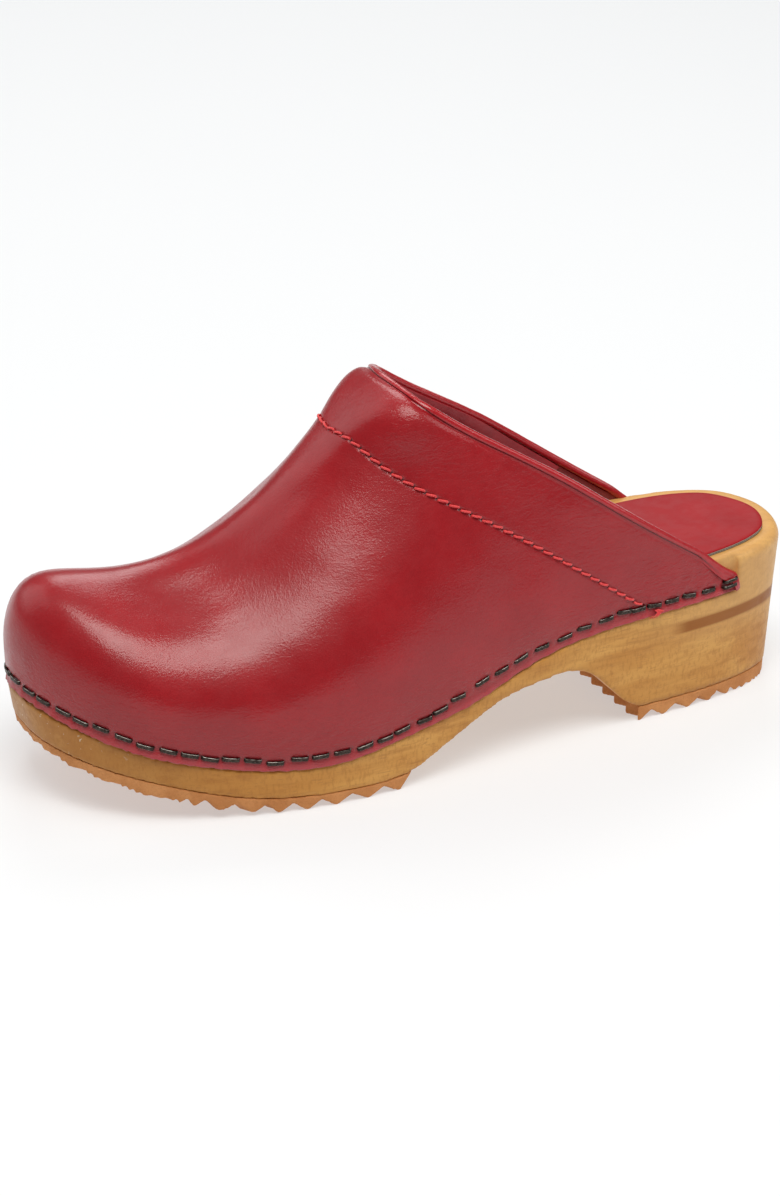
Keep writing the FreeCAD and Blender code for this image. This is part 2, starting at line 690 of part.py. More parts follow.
def seam_points():
    """Points of the collar stitching, every pitch, from the instep down to the staples."""
    found = {}
    for side in (OUTER, INNER):
        fine = []
        for i in range(401):
            v = side * SEAM_REACH * i / 400.0
            u = u_at_length(v, COLLAR_DEPTH, True)
            if u_at_length(v, STAPLE_LINE + SEAM_CLEARANCE) > u:
                break
            fine.append((u, v, leather_point(u, v)))
        picks = [fine[0]]
        run = 0.0
        for a, b in zip(fine, fine[1:]):
            run += a[2].distanceToPoint(b[2])
            if run >= STITCH_PITCH:
                picks.append(b)
                run -= STITCH_PITCH
        found[side] = picks
    return found


def stitch(a, b):
    """One thread lying on the leather between two needle holes."""
    pa, na = leather_frame(a[0], a[1])[:2]
    pb, nb = leather_frame(b[0], b[1])[:2]
    lift = STITCH_R + 0.05
    pa = pa + na * lift
    pb = pb + nb * lift
    way = pb - pa
    way.normalize()
    mid = (pa + pb) * 0.5 + (na + nb) * 0.03
    return Part.makeCylinder(STITCH_R, STITCH_LENGTH, mid - way * (STITCH_LENGTH / 2), way)


def thread_tail(u, v, lean, length):
    """Frayed end of the seam's thread, a short bent strand lying off the leather."""
    p, n, lay, rise = square_frame(u, v, 0.0)
    side = 1 if v > 0 else -1
    start = p + n * 0.5
    mid = start + n * 0.7 + lay * (side * lean * 0.5) - rise * (length * 0.5)
    end = start + n * 1.1 + lay * (side * lean) - rise * length
    return strand([start, mid, end], THREAD_R)


def make_sock(low, high, inset):
    rear = footbed_z(BACK)
    nose = footbed_z(FRONT)
    band = side_prism([
        side_curve(FOOTBED, low), side_line(BACK, rear + low, BACK, rear + high),
        side_curve(FOOTBED, high), side_line(FRONT, nose + high, FRONT, nose + low)])
    return band.common(plan_prism(0.0, BAND_TOP, inset))


# ---------------------------------------------------------------- build and write
def write(name, solids):
    shape = solids if not isinstance(solids, list) else Part.makeCompound(solids)
    shape = shape.copy()
    shape.translate(Vector(*ORIGIN))
    shape.exportStep("parts/%s.step" % name)
    box = shape.BoundBox
    print("%-20s solids %3d valid %s vol %9.1f  x %.1f..%.1f y %.1f..%.1f z %.1f..%.1f" % (
        name, len(shape.Solids), shape.isValid(), shape.Volume,
        box.XMin, box.XMax, box.YMin, box.YMax, box.ZMin, box.ZMax))


def main():
    staples = staple_rows()
    every = [s for group in staples.values() for s in group]
    write("wooden_sole", make_wood().cut(every))
    write("forefoot_outsole", make_forefoot_outsole())
    write("heel_outsole", make_heel_outsole())
    write("upper", make_upper().cut(every))
    for name, group in staples.items():
        write(name, group)
    write("toe_stiffener", make_stiffener())
    write("collar_padding", make_collar("padding"))
    write("collar_lining", make_collar("lining"))
    write("topline_piping", hollow_tube(piping_rings(PIPING_R), piping_rings(CORD_R + 0.02)))
    write("piping_cord", solid_tube(piping_rings(CORD_R)))
    seams = seam_points()
    threads = []
    for picks in seams.values():
        threads += [stitch(a, b) for a, b in zip(picks, picks[1:])]
    write("collar_stitching", threads)
    tails = []
    for side, picks in seams.items():
        v = picks[-1][1]
        low = u_at_length(v, STAPLE_LINE - THREAD_TAIL_DROP)
        for shift, lean, drop in THREAD_TAILS:
            tails.append(thread_tail(low, v + shift * side, lean, drop))
    write("seam_thread_ends", tails)
    write("sock_cushion", make_sock(0.02, CUSHION, SOCK_INSET))
    write("sock_leather", make_sock(CUSHION + 0.02, CUSHION + SOCK, SOCK_INSET))


main()
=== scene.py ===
import math

import bmesh
import bpy
import numpy as np
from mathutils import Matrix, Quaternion, Vector


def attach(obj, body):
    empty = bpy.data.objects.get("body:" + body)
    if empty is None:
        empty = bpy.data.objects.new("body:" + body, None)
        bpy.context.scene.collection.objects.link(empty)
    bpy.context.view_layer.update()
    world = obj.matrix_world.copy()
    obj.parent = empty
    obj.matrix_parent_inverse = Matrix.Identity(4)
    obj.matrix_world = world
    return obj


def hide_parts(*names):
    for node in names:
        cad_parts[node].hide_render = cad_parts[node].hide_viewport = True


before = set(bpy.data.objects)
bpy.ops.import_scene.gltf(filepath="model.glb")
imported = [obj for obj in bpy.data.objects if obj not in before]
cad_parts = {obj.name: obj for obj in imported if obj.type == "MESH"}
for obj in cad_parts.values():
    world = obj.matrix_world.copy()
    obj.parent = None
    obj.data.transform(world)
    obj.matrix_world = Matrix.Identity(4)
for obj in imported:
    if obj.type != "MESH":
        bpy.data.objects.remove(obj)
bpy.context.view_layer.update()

# Left wooden clog: toe towards -X, heel towards +X, outer side towards -Y, tread on z = 0.
# The drawing below is in millimetres, in the CAD drawing's own zero; to_row() turns it into
# metres in the row frame.
MM = 0.001
ORIGIN = np.array([-6.5, 0.9, 0.0])
SEED = 20

# thicknesses
LEATHER = 1.8
LINING = 1.1
STIFFENER = 1.2
CUSHION = 0.9
SOCK = 0.6
PAD_EDGE = 0.25
PAD_MAX = 2.6
GAP = 0.1              # between neighbouring layers

# collar, as lengths down from the topline and as ends along the net
COLLAR_DEPTH = 21.6
LINING_DEPTH = 25.5
COLLAR_END = 0.9
SEAM_END = 0.93
SEAM_CLEAR = 1.5       # the seam stops this far above the staples
STITCH_PITCH = 4.1
CORD_R = 0.7

# staples
STAPLE_LINE = 3.5
STAPLE_CROWN = 5.6
STAPLE_WIDTH = 1.6
STAPLE_WIRE = 0.6
STAPLE_TURN = 4.0      # most turn in degrees, and its step from one staple to the next
TURN_STEP = 3.1
TOE_STAPLES = 60.0     # length of edge with the toe's staples, to each side
END_STAPLES = [2.3, 4.2]        # heights of the pair at each end
END_STAPLE_GAP = 3.5

# sole
RIM_Z = 50.0
SIDE_LEAN = 0.03
END_LEAN = 0.15
BEND_LOW = -2.9        # the plan's curve: offset, rate and place of its lowest point
BEND_RATE = 4.2e-4
BEND_AT = 25.0
GROOVE_Z = 29.6
GROOVE_HALF = 2.5
GROOVE_START = 88.0
SOCK_INSET = 5.0
INNER_INSET = 3.0      # further inset along the inner side, and at the waist
WAIST = 4.5

HALF_WIDTH = [
    (-127.8, 0), (-126.5, 8.8), (-121.8, 18.5), (-113.4, 28), (-99.8, 36.9), (-80, 43.7),
    (-55, 47.6), (-30, 47.6), (0, 43.2), (30, 38.2), (60, 35), (88, 33.6), (108, 31), (122, 26.8),
    (131.5, 20.6), (137.5, 11.2), (140, 0)]
FOOTBED = [
    (-140, 48.5), (-110, 38.0), (-90, 31.5), (-66, 26.0), (-40, 23.5), (-20, 25.0), (0, 29.5),
    (20, 35.0), (40, 41.0), (60, 46.0), (80, 48.7), (100, 49.7), (145, 50.2)]

# Staples as in the CAD: length along the leather's edge on the outer side, height above it.
STAPLE_TABLE = [
    (3.3, 3.8), (10.6, 3.4), (17.1, 3.3), (25, 3.5), (31.4, 3.3), (38.6, 4.2), (46, 3.9),
    (52.7, 3.2), (59.9, 3.5), (66.4, 3.3), (72.6, 2.9), (78.9, 3.5), (85.7, 3.5), (92.8, 2.7),
    (100.4, 3.8), (107, 3.8), (114.1, 3.7), (121.8, 3.1), (128.9, 2.8), (134.9, 3.2), (143.2, 3),
    (148.9, 3.8), (155.2, 5.4), (164.3, 6.4), (172.4, 5.6), (180.4, 5.1), (188.8, 4.4),
    (197.8, 3.7), (204.7, 4.4), (212.9, 4.4), (219.4, 5), (225.1, 4.2), (231.5, 3.8), (238.5, 3.6),
    (245.5, 3.5), (254.1, 2.9)]

# The upper's control net, as in the CAD: x, half width, z from lower edge to topline.
COLUMN_AT = [0.0, 0.15, 0.32, 0.53, 0.635, 0.74, 0.91, 0.957, 1.0]
COLUMNS = [
    [(-125.2, 0, 34.1), (-126, 0, 40.8), (-127.5, 0, 54.1), (-119.1, 0, 70.7), (-100.2, 0, 68.5),
     (-72.3, 0, 67.5), (-43.9, 0, 85.6), (-25.4, 0, 102), (-13.9, 0, 115.2), (-5.9, 0, 119.9)],
    [(-109.6, 29.9, 27.1), (-110.6, 29.9, 35.6), (-111, 31.8, 46.3), (-102.7, 26.7, 61.7),
     (-84.9, 13.3, 61.4), (-62.8, 9.9, 69), (-37.5, 8.7, 87.7), (-21.2, 9.8, 104.7),
     (-11.2, 11.8, 116.4), (-3.7, 11.3, 118.6)],
    [(-82, 42.5, 18.8), (-81.8, 43, 25.7), (-82.2, 47, 35.7), (-74.1, 37.9, 51.9),
     (-57.6, 24.7, 62.5), (-42.5, 20.3, 76.5), (-25.2, 17.9, 92.2), (-12.1, 17.9, 105),
     (-4.6, 19.3, 113.2), (0.2, 19.8, 115.2)],
    [(-38, 47.3, 14.7), (-37.5, 47.6, 20.1), (-33.9, 49.9, 33.9), (-26.5, 45.3, 53.8),
     (-14.4, 37.6, 71.2), (-4.7, 32.1, 83.8), (3.1, 28.1, 93.9), (8.7, 25.9, 100.9),
     (12, 25.1, 103), (14.6, 25.1, 104.9)],
    [(-15.5, 45.2, 18.7), (-14.6, 45.4, 23.7), (-9.4, 46.3, 35.7), (-2.5, 43.2, 52.6),
     (7, 38, 68.9), (14.5, 33.7, 79.8), (20.3, 30.4, 88.5), (24.2, 28.4, 94.3),
     (26.4, 27.8, 95.1), (28.6, 27.8, 96.5)],
    [(10, 41, 24), (11, 41.1, 29.1), (14, 41.7, 38.9), (20, 39.4, 50.9), (27, 36.4, 63.9),
     (32.6, 34, 72.7), (37.4, 32, 80.1), (40.9, 30.8, 84.9), (42.6, 30.6, 85.4),
     (44.6, 30.8, 86.4)],
    [(60, 34.9, 36.2), (61, 35, 38.4), (63, 35.4, 42.9), (66, 35, 48), (69, 34.4, 53),
     (71.4, 33.9, 56.6), (73.7, 33.5, 59.8), (75.6, 33.3, 62), (76.4, 33.1, 62.3),
     (77.8, 33, 63.2)],
    [(86, 33.7, 37.5), (86.5, 33.5, 38.6), (87.7, 33.2, 41), (89, 32.9, 43.7), (90.3, 32.6, 46.5),
     (91.3, 32.3, 48.5), (92.2, 32.1, 50.4), (92.8, 31.9, 51.7), (93, 31.9, 52.1),
     (93.3, 31.8, 52.8)],
    [(109.6, 30.6, 37.8), (109.6, 30.6, 38.4), (109.5, 30.5, 39), (109.5, 30.5, 39.5),
     (109.5, 30.4, 40.1), (109.4, 30.4, 40.7), (109.4, 30.3, 41.3), (109.4, 30.3, 41.8),
     (109.3, 30.2, 42.4), (109.3, 30.2, 43)]]


# ---- curves
def to_row(points):
    """Drawing millimetres to row metres."""
    return (np.asarray(points) + ORIGIN) * MM


def spline(ts, vs, periodic=False):
    """Cubic spline through vs (any trailing shape) at ts; natural ends unless periodic."""
    ts, vs = np.asarray(ts, float), np.asarray(vs, float)
    n = len(ts)
    h = np.diff(ts)
    flat = vs.reshape(n, -1)
    slope = np.diff(flat, axis=0) / h[:, None]
    a = np.eye(n)
    rhs = np.zeros_like(flat)
    for i in range(1, n - 1):
        a[i, i - 1:i + 2] = h[i - 1], 2 * (h[i - 1] + h[i]), h[i]
        rhs[i] = 6 * (slope[i] - slope[i - 1])
    if periodic:
        a[0, 0], a[0, 1], a[0, n - 2] = 2 * (h[-1] + h[0]), h[0], h[-1]
        rhs[0] = 6 * (slope[0] - slope[-1])
        a[-1, 0], a[-1, -1] = 1, -1
    m = np.linalg.solve(a, rhs)

    def value(t):
        t = np.asarray(t, float)
        i = np.clip(np.searchsorted(ts, t, side="right") - 1, 0, n - 2)
        w = ((ts[i + 1] - t) / h[i])[..., None]
        v, hh = 1 - w, h[i][..., None]
        curved = ((w ** 3 - w) * m[i] + (v ** 3 - v) * m[i + 1]) * hh ** 2 / 6
        return (w * flat[i] + v * flat[i + 1] + curved).reshape(t.shape + vs.shape[1:])

    return value


footbed_z = spline(*zip(*FOOTBED))


def plan_bend(x):
    return BEND_LOW + BEND_RATE * (x - BEND_AT) ** 2


def smooth(x, low, high):
    """0 below low, 1 above high, with a soft step between."""
    t = np.clip((x - low) / (high - low), 0, 1)
    return t * t * (3 - 2 * t)


def bell(x, width):
    return np.exp(-(x / width) ** 2)


def unit(a):
    return a / np.maximum(np.linalg.norm(a, axis=-1, keepdims=True), 1e-12)


def run_length(points):
    """Length along a line of points, from its first."""
    return np.concatenate([[0], np.cumsum(np.linalg.norm(np.diff(points, axis=0), axis=1))])


def average(values, count):
    """Running mean over an odd count, of the same length."""
    values = np.pad(values, count // 2, mode="edge")
    return np.convolve(values, np.ones(count) / count, mode="valid")


def angles(steps):
    return np.arange(steps) * 2 * math.pi / steps


# ---- the upper's surface
def net():
    cols = np.array(COLUMNS, float)
    near = cols[:0:-1].copy()
    near[:, :, 1] *= -1
    ats = [-t for t in COLUMN_AT[:0:-1]] + COLUMN_AT
    return spline(ats, np.vstack([near, cols]))


NET = net()
KNOTS = np.array([0, 0, 0, 0, 0.2, 0.4, 0.6, 0.8, 0.88, 0.94, 1, 1, 1, 1])


def weights(u):
    u = np.clip(np.asarray(u, float), 0, 1 - 1e-12)[..., None]
    b = ((KNOTS[:-1] <= u) & (u < KNOTS[1:])).astype(float)
    for k in (1, 2, 3):
        d1 = KNOTS[k:-1] - KNOTS[:-k - 1]
        d2 = KNOTS[k + 1:] - KNOTS[1:-k]
        a = np.where(d1 > 0, (u - KNOTS[:-k - 1]) / np.where(d1 > 0, d1, 1), 0)
        c = np.where(d2 > 0, (KNOTS[k + 1:] - u) / np.where(d2 > 0, d2, 1), 0)
        b = a * b[..., :-1] + c * b[..., 1:]
    return b


def skin(u, v):
    """Outer face of the leather for arrays u (lower edge to topline) and v (outer to inner)."""
    u, v = np.broadcast_arrays(np.asarray(u, float), np.asarray(v, float))
    rows = NET(v)
    p = np.einsum("...r,...rc->...c", weights(u), rows)
    p[..., 1] += plan_bend(p[..., 0])
    return p


def skin_frame(u, v):
    """Points, outward normals, directions along the shoe's edge and up the leather."""
    e = 2e-3
    up = unit(skin(np.minimum(u + e, 1), v) - skin(np.maximum(u - e, 0), v))
    along = unit(skin(u, np.minimum(v + e, 1)) - skin(u, np.maximum(v - e, -1)))
    return skin(u, v), unit(np.cross(up, along)), along, up


class Ruler:
    """Lengths along the upper's columns and its lower edge, for placing things in millimetres."""

    def __init__(self, rows=161, columns=801):
        self.u = np.linspace(0, 1, rows)
        self.v = np.linspace(-1, 1, columns)
        grid = skin(self.u[:, None], self.v[None, :])
        step = np.linalg.norm(np.diff(grid, axis=0), axis=-1)
        self.up = np.vstack([np.zeros(columns), np.cumsum(step, axis=0)])
        run = run_length(grid[0])
        self.edge = run - np.interp(0, self.v, run)
        self.clear = grid[..., 2] - footbed_z(grid[..., 0])

    def column(self, v):
        """Length table of the columns at v, one column of the result per v."""
        x = np.clip((np.asarray(v) + 1) / 2 * (len(self.v) - 1), 0, len(self.v) - 1.001)
        i = x.astype(int)
        f = x - i
        return self.up[:, i] * (1 - f) + self.up[:, i + 1] * f

    def u_at(self, v, length, from_top=False):
        v = np.atleast_1d(v)
        length = np.broadcast_to(length, v.shape)
        table = self.column(v)
        want = table[-1] - length if from_top else length
        return np.array([np.interp(w, table[:, k], self.u) for k, w in enumerate(want)])

    def height(self, v):
        return self.column(np.atleast_1d(v))[-1]

    def v_at(self, length):
        return np.interp(length, self.edge, self.v)

    def u_clear(self, v, above):
        """Lowest u standing a given height above the footbed."""
        k = np.round((np.atleast_1d(v) + 1) / 2 * (len(self.v) - 1)).astype(int)
        return np.array([self.u[np.argmax(self.clear[:, j] >= above)]
                         for j in np.clip(k, 0, len(self.v) - 1)])


RULER = Ruler()


def staple_places():
    """Staples as (length along the edge, height, turn in degrees, group)."""
    places = []
    for side, name in ((-1, "staples_outer"), (1, "staples_inner")):
        length = abs(RULER.edge[0 if side < 0 else -1])
        for i, (at, up) in enumerate(STAPLE_TABLE):
            turn = STAPLE_TURN * math.sin(TURN_STEP * i * side)
            group = "staples_toe" if at <= TOE_STAPLES else name
            places.append((side * at * length / -RULER.edge[0], up, turn, group))
        for up in END_STAPLES:
            places.append((side * (length - END_STAPLE_GAP), up, 0.0, "end_staples"))
    return places


STAPLES = staple_places()


def seam_picks(side):
    """Needle holes of the collar stitching on one side, as (u, v) every pitch."""
    v = side * np.linspace(0, SEAM_END, 1500)
    u = RULER.u_at(v, COLLAR_DEPTH, True)
    low = RULER.u_at(v, STAPLE_LINE + SEAM_CLEAR)
    stop = np.argmax(low > u) or len(v)
    u, v = u[:stop], v[:stop]
    run = run_length(skin(u, v))
    at = np.arange(0, run[-1], STITCH_PITCH)
    return np.interp(at, run, u), np.interp(at, run, v)


SEAM = {side: seam_picks(side) for side in (-1, 1)}


# ---- meshes
def add_object(name, data, place=(0, 0, 0), turn=Quaternion()):
    obj = bpy.data.objects.new(name, data)
    bpy.context.scene.collection.objects.link(obj)
    obj.location = place
    obj.rotation_euler = turn.to_euler()
    return obj


def make_object(name, verts, faces, material, smooth_angle=40):
    mesh = bpy.data.meshes.new(name)
    mesh.from_pydata(to_row(verts).tolist(), [], faces)
    mesh.validate()
    bm = bmesh.new()
    bm.from_mesh(mesh)
    bmesh.ops.recalc_face_normals(bm, faces=bm.faces)
    bm.to_mesh(mesh)
    bm.free()
    mesh.shade_smooth()
    mesh.set_sharp_from_angle(angle=math.radians(smooth_angle))
    mesh.materials.append(MATERIALS[material])
    return add_object(name, mesh)


def add_attribute(obj, name, values):
    layer = obj.data.attributes.new(name, "FLOAT", "POINT")
    layer.data.foreach_set("value", np.asarray(values, np.float32).ravel())


def quads(nu, nv, start=0, wrap=False, flip=False):
    """Faces of an nu by nv grid of points; wrap closes it along nv."""
    a, b = np.meshgrid(np.arange(nu - 1), np.arange(nv if wrap else nv - 1), indexing="ij")
    a2, b2 = a + 1, (b + 1) % nv
    f = np.stack([a * nv + b, a2 * nv + b, a2 * nv + b2, a * nv + b2], -1).reshape(-1, 4) + start
    return (f[:, ::-1] if flip else f).tolist()


def border(nu, nv):
    """Indices round the edge of an nu by nv grid, in order."""
    idx = np.arange(nu * nv).reshape(nu, nv)
    return np.concatenate([idx[0, :], idx[1:, -1], idx[-1, -2::-1], idx[-2:0:-1, 0]])


def sheet(name, outer, inner, material, rim):
    """Closed sheet between two grids, with loops that round its edge outwards by rim."""
    nu, nv = outer.shape[:2]
    verts = [outer.reshape(-1, 3), inner.reshape(-1, 3)]
    faces = quads(nu, nv) + quads(nu, nv, nu * nv, flip=True)
    ring = border(nu, nv)
    a, b = verts[0][ring], verts[1][ring]
    thick = b - a
    way = unit(np.cross(unit(a - np.roll(a, 1, axis=0)), thick))
    sign = np.sign(((a - verts[0].mean(axis=0)) * way).sum(axis=1, keepdims=True))
    way = way * np.where(sign == 0, 1, sign)
    loops = [ring]
    for k, t in enumerate((0.25, 0.5, 0.75)):
        verts.append(a + thick * t + way * rim * math.sin(math.pi * t))
        loops.append(2 * nu * nv + k * len(ring) + np.arange(len(ring)))
    loops.append(ring + nu * nv)
    for one, two in zip(loops, loops[1:]):
        faces += np.stack([np.roll(one, -1), one, two, np.roll(two, -1)], -1).tolist()
    return make_object(name, np.vstack(verts), faces, material)


def tube(path, across, rise, shape):
    """Points and faces of a tube along path; shape holds its offsets along across and rise."""
    n, k = len(path), shape.shape[-2]
    shape = np.broadcast_to(shape, (n, k, 2))
    verts = path[:, None] + across[:, None] * shape[..., :1] + rise[:, None] * shape[..., 1:]
    faces = quads(n, k, wrap=True)
    faces += [list(range(k))[::-1], list(range((n - 1) * k, n * k))]
    return verts.reshape(-1, 3), faces


def joined(name, parts, material, smooth_angle):
    """One object from the points and faces of several parts."""
    verts, faces, start = [], [], 0
    for v, f in parts:
        verts.append(v)
        faces += [[start + i for i in face] for face in f]
        start += len(v)
    return make_object(name, np.vstack(verts), faces, material, smooth_angle)


def circle(radius, steps):
    """Points round a circle; radius may change from point to point."""
    a = angles(steps)
    return np.stack([radius * np.cos(a), radius * np.sin(a)], -1)


def square_to(path, way):
    """Heading along path at each point, and way turned square to it."""
    heading = unit(np.gradient(path, axis=0))
    return heading, unit(way - heading * (way * heading).sum(-1, keepdims=True))


def lumps(points, size, seed, octaves=3, waves=5, height=0.28, fade=1.7):
    """Smooth repeatable noise from sums of sines, about -1 to 1."""
    rng = np.random.default_rng(seed)
    total = np.zeros(points.shape[:-1])
    for o in range(octaves):
        for _ in range(waves):
            way = rng.normal(size=3)
            way /= np.linalg.norm(way)
            wave = 2 * math.pi * 2 ** o / size * rng.uniform(0.7, 1.3)
            total += np.sin(points @ way * wave + rng.uniform(0, 6.28)) * height / fade ** o
    return total


# ---- shader helpers
class Shader:
    """A Principled material built up coat by coat. Sizes are in millimetres."""

    def __init__(self, name, **fixed):
        self.mat = bpy.data.materials.new(name)
        self.mat.use_nodes = True
        self.tree = self.mat.node_tree
        self.bsdf = self.tree.nodes["Principled BSDF"]
        for socket, value in fixed.items():
            self.bsdf.inputs[socket.replace("_", " ")].default_value = value
        self.place = self.node("ShaderNodeTexCoord", {}, "Object")
        self.colour = self.bumps = None

    def put(self, node, sockets):
        """Sets a node's sockets to values, or links them to outputs of other nodes."""
        for key, value in sockets.items():
            if hasattr(value, "is_linked"):
                self.tree.links.new(value, node.inputs[key])
            else:
                node.inputs[key].default_value = value

    def node(self, kind, sockets, out=0, **settings):
        """Adds a node and gives one of its outputs."""
        node = self.tree.nodes.new(kind)
        for key, value in settings.items():
            setattr(node, key, value)
        self.put(node, sockets)
        return node.outputs[out]

    def stretch(self, scale, turn=(0, 0, 0)):
        """Coordinates in millimetres, multiplied by scale."""
        return self.node("ShaderNodeMapping", {
            "Vector": self.place, "Scale": [s / MM for s in scale],
            "Rotation": [math.radians(t) for t in turn]})

    def noise(self, size, detail=3.0, rough=0.5, scale=(1, 1, 1), warp=0.0, turn=(0, 0, 0)):
        return self.node("ShaderNodeTexNoise", {
            "Vector": self.stretch([s / size for s in scale], turn), "Scale": 1.0,
            "Detail": detail, "Roughness": rough, "Distortion": warp})

    def cells(self, size):
        return self.node("ShaderNodeTexVoronoi", {
            "Vector": self.stretch([1 / size] * 3), "Scale": 1.0})

    def times(self, a, b):
        return self.node("ShaderNodeMath", {0: a, 1: b}, operation="MULTIPLY")

    def plus(self, a, b):
        return self.node("ShaderNodeMath", {0: a, 1: b}, operation="ADD")

    def attribute(self, name, strength=1.0):
        value = self.node("ShaderNodeAttribute", {}, "Fac", attribute_name=name)
        return value if strength == 1.0 else self.times(value, strength)

    def span(self, value, low, high, to_low=0.0, to_high=1.0):
        """Soft step between low and high."""
        return self.node("ShaderNodeMapRange", {
            "Value": value, "From Min": low, "From Max": high, "To Min": to_low,
            "To Max": to_high}, interpolation_type="SMOOTHSTEP")

    def base(self, fac, first, second):
        """First coat: one colour where fac is 0, another where it is 1."""
        first, second = ((*c, 1.0) if isinstance(c, tuple) else c for c in (first, second))
        self.colour = self.node("ShaderNodeMix", {0: fac, 6: first, 7: second}, 2,
                                data_type="RGBA")

    def tint(self, fac, colour):
        """Next coat, over the others by fac."""
        self.base(fac, self.colour, colour)

    def bump(self, height, depth, strength):
        """Adds a bump; depth is the height in millimetres of a full step."""
        below = {"Normal": self.bumps} if self.bumps else {}
        self.bumps = self.node("ShaderNodeBump", {
            "Height": height, "Distance": depth * MM, "Strength": strength, **below})

    def finish(self, rough):
        self.put(self.bsdf, {"Base Color": self.colour, "Roughness": rough})
        if self.bumps:
            self.put(self.bsdf, {"Normal": self.bumps})
            if self.bsdf.inputs["Coat Weight"].default_value > 0:
                self.put(self.bsdf, {"Coat Normal": self.bumps})
        return self.mat


# ---- materials
def red_leather():
    s = Shader("red_leather", Coat_Weight=0.45, Coat_Roughness=0.13, Specular_IOR_Level=0.3)
    height, below_top = s.attribute("edge_mm"), s.attribute("top_mm")
    cloud, speck = s.noise(22, 4, 0.55), s.noise(1.3, 3, 0.6)
    s.base(s.span(cloud, 0.35, 0.68), (0.305, 0.0066, 0.011), (0.345, 0.0084, 0.0132))
    s.tint(s.span(speck, 0.45, 0.75, 0, 0.35), (0.25, 0.0045, 0.009))
    # the trimmed margin below the staples is paler and drier, its cut edge raw
    margin = s.span(height, 0.4, 3.0, 1.0, 0.0)
    s.tint(s.times(margin, 0.75), (0.46, 0.055, 0.065))
    s.tint(s.times(s.span(height, 0.0, 0.35, 1.0, 0.0), 0.7), (0.3, 0.1, 0.085))
    # painted shade in the needle holes
    s.tint(s.attribute("hole"), (0.03, 0.002, 0.004))
    # painted shade in the dents round the staple ends
    s.tint(s.attribute("dent_shade", 0.45), (0.07, 0.004, 0.007))
    s.bump(s.cells(0.55), 0.03, 0.8)
    s.bump(s.noise(0.9, 4, 0.62), 0.08, 0.7)
    s.bump(s.noise(0.35, 3, 0.6), 0.014, 0.6)
    # soft wrinkles round the collar and low on the side
    wrinkle = s.noise(2.6, 5, 0.6, scale=(0.55, 1, 1.6), warp=1.2)
    near_top, near_low = s.span(below_top, 5, 30, 1.0, 0.3), s.span(height, 8, 26, 1.4, 0.0)
    s.bump(s.times(wrinkle, s.plus(near_top, near_low)), 0.22, 0.8)
    rough = s.span(s.noise(6, 4, 0.6), 0.3, 0.75, 0.34, 0.46)
    return s.finish(s.plus(rough, s.times(margin, 0.2)))


def bead_leather():
    s = Shader("piping_leather", Coat_Weight=0.6, Coat_Roughness=0.12, Specular_IOR_Level=0.3)
    streak = s.noise(1.6, 3, 0.6)
    s.base(s.span(streak, 0.35, 0.7), (0.38, 0.007, 0.012), (0.44, 0.011, 0.018))
    # painted highlight: a pale line along the fold at the bead's top
    s.tint(s.attribute("crest_highlight", 0.85), (0.88, 0.4, 0.38))
    # painted shade in the bead's two grooves
    s.tint(s.attribute("groove_shade"), (0.075, 0.003, 0.006))
    s.bump(s.cells(0.5), 0.012, 0.6)
    s.bump(s.noise(1.8, 4, 0.6), 0.07, 0.6)
    return s.finish(s.span(streak, 0.3, 0.7, 0.3, 0.42))


def lining_leather():
    s = Shader("lining_leather", Coat_Weight=0.12, Coat_Roughness=0.3)
    s.base(s.span(s.noise(9, 4), 0.35, 0.7), (0.25, 0.008, 0.014), (0.32, 0.014, 0.021))
    s.bump(s.cells(0.7), 0.03, 0.7)
    s.bump(s.noise(3.5, 4, 0.6), 0.12, 0.6)
    return s.finish(s.span(s.noise(2.5), 0.3, 0.7, 0.46, 0.62))


def flesh_leather():
    """Unfinished inner face of the leather."""
    s = Shader("flesh_leather", Sheen_Weight=0.15, Sheen_Roughness=0.5)
    fibres = s.noise(0.8, 5, 0.7, warp=0.6)
    s.base(s.span(fibres, 0.3, 0.72), (0.21, 0.02, 0.022), (0.33, 0.05, 0.048))
    s.bump(fibres, 0.12, 0.7)
    return s.finish(s.span(fibres, 0.3, 0.7, 0.78, 0.92))


def sock_leather():
    s = Shader("sock_leather", Specular_IOR_Level=0.22)
    s.base(s.span(s.noise(16, 4), 0.35, 0.68), (0.325, 0.009, 0.013), (0.365, 0.012, 0.0165))
    s.tint(s.span(s.noise(0.8, 3), 0.5, 0.8, 0, 0.35), (0.28, 0.008, 0.012))
    s.bump(s.cells(0.45), 0.02, 0.6)
    s.bump(s.noise(1.1, 4, 0.6), 0.04, 0.6)
    return s.finish(s.span(s.noise(4), 0.3, 0.7, 0.44, 0.56))


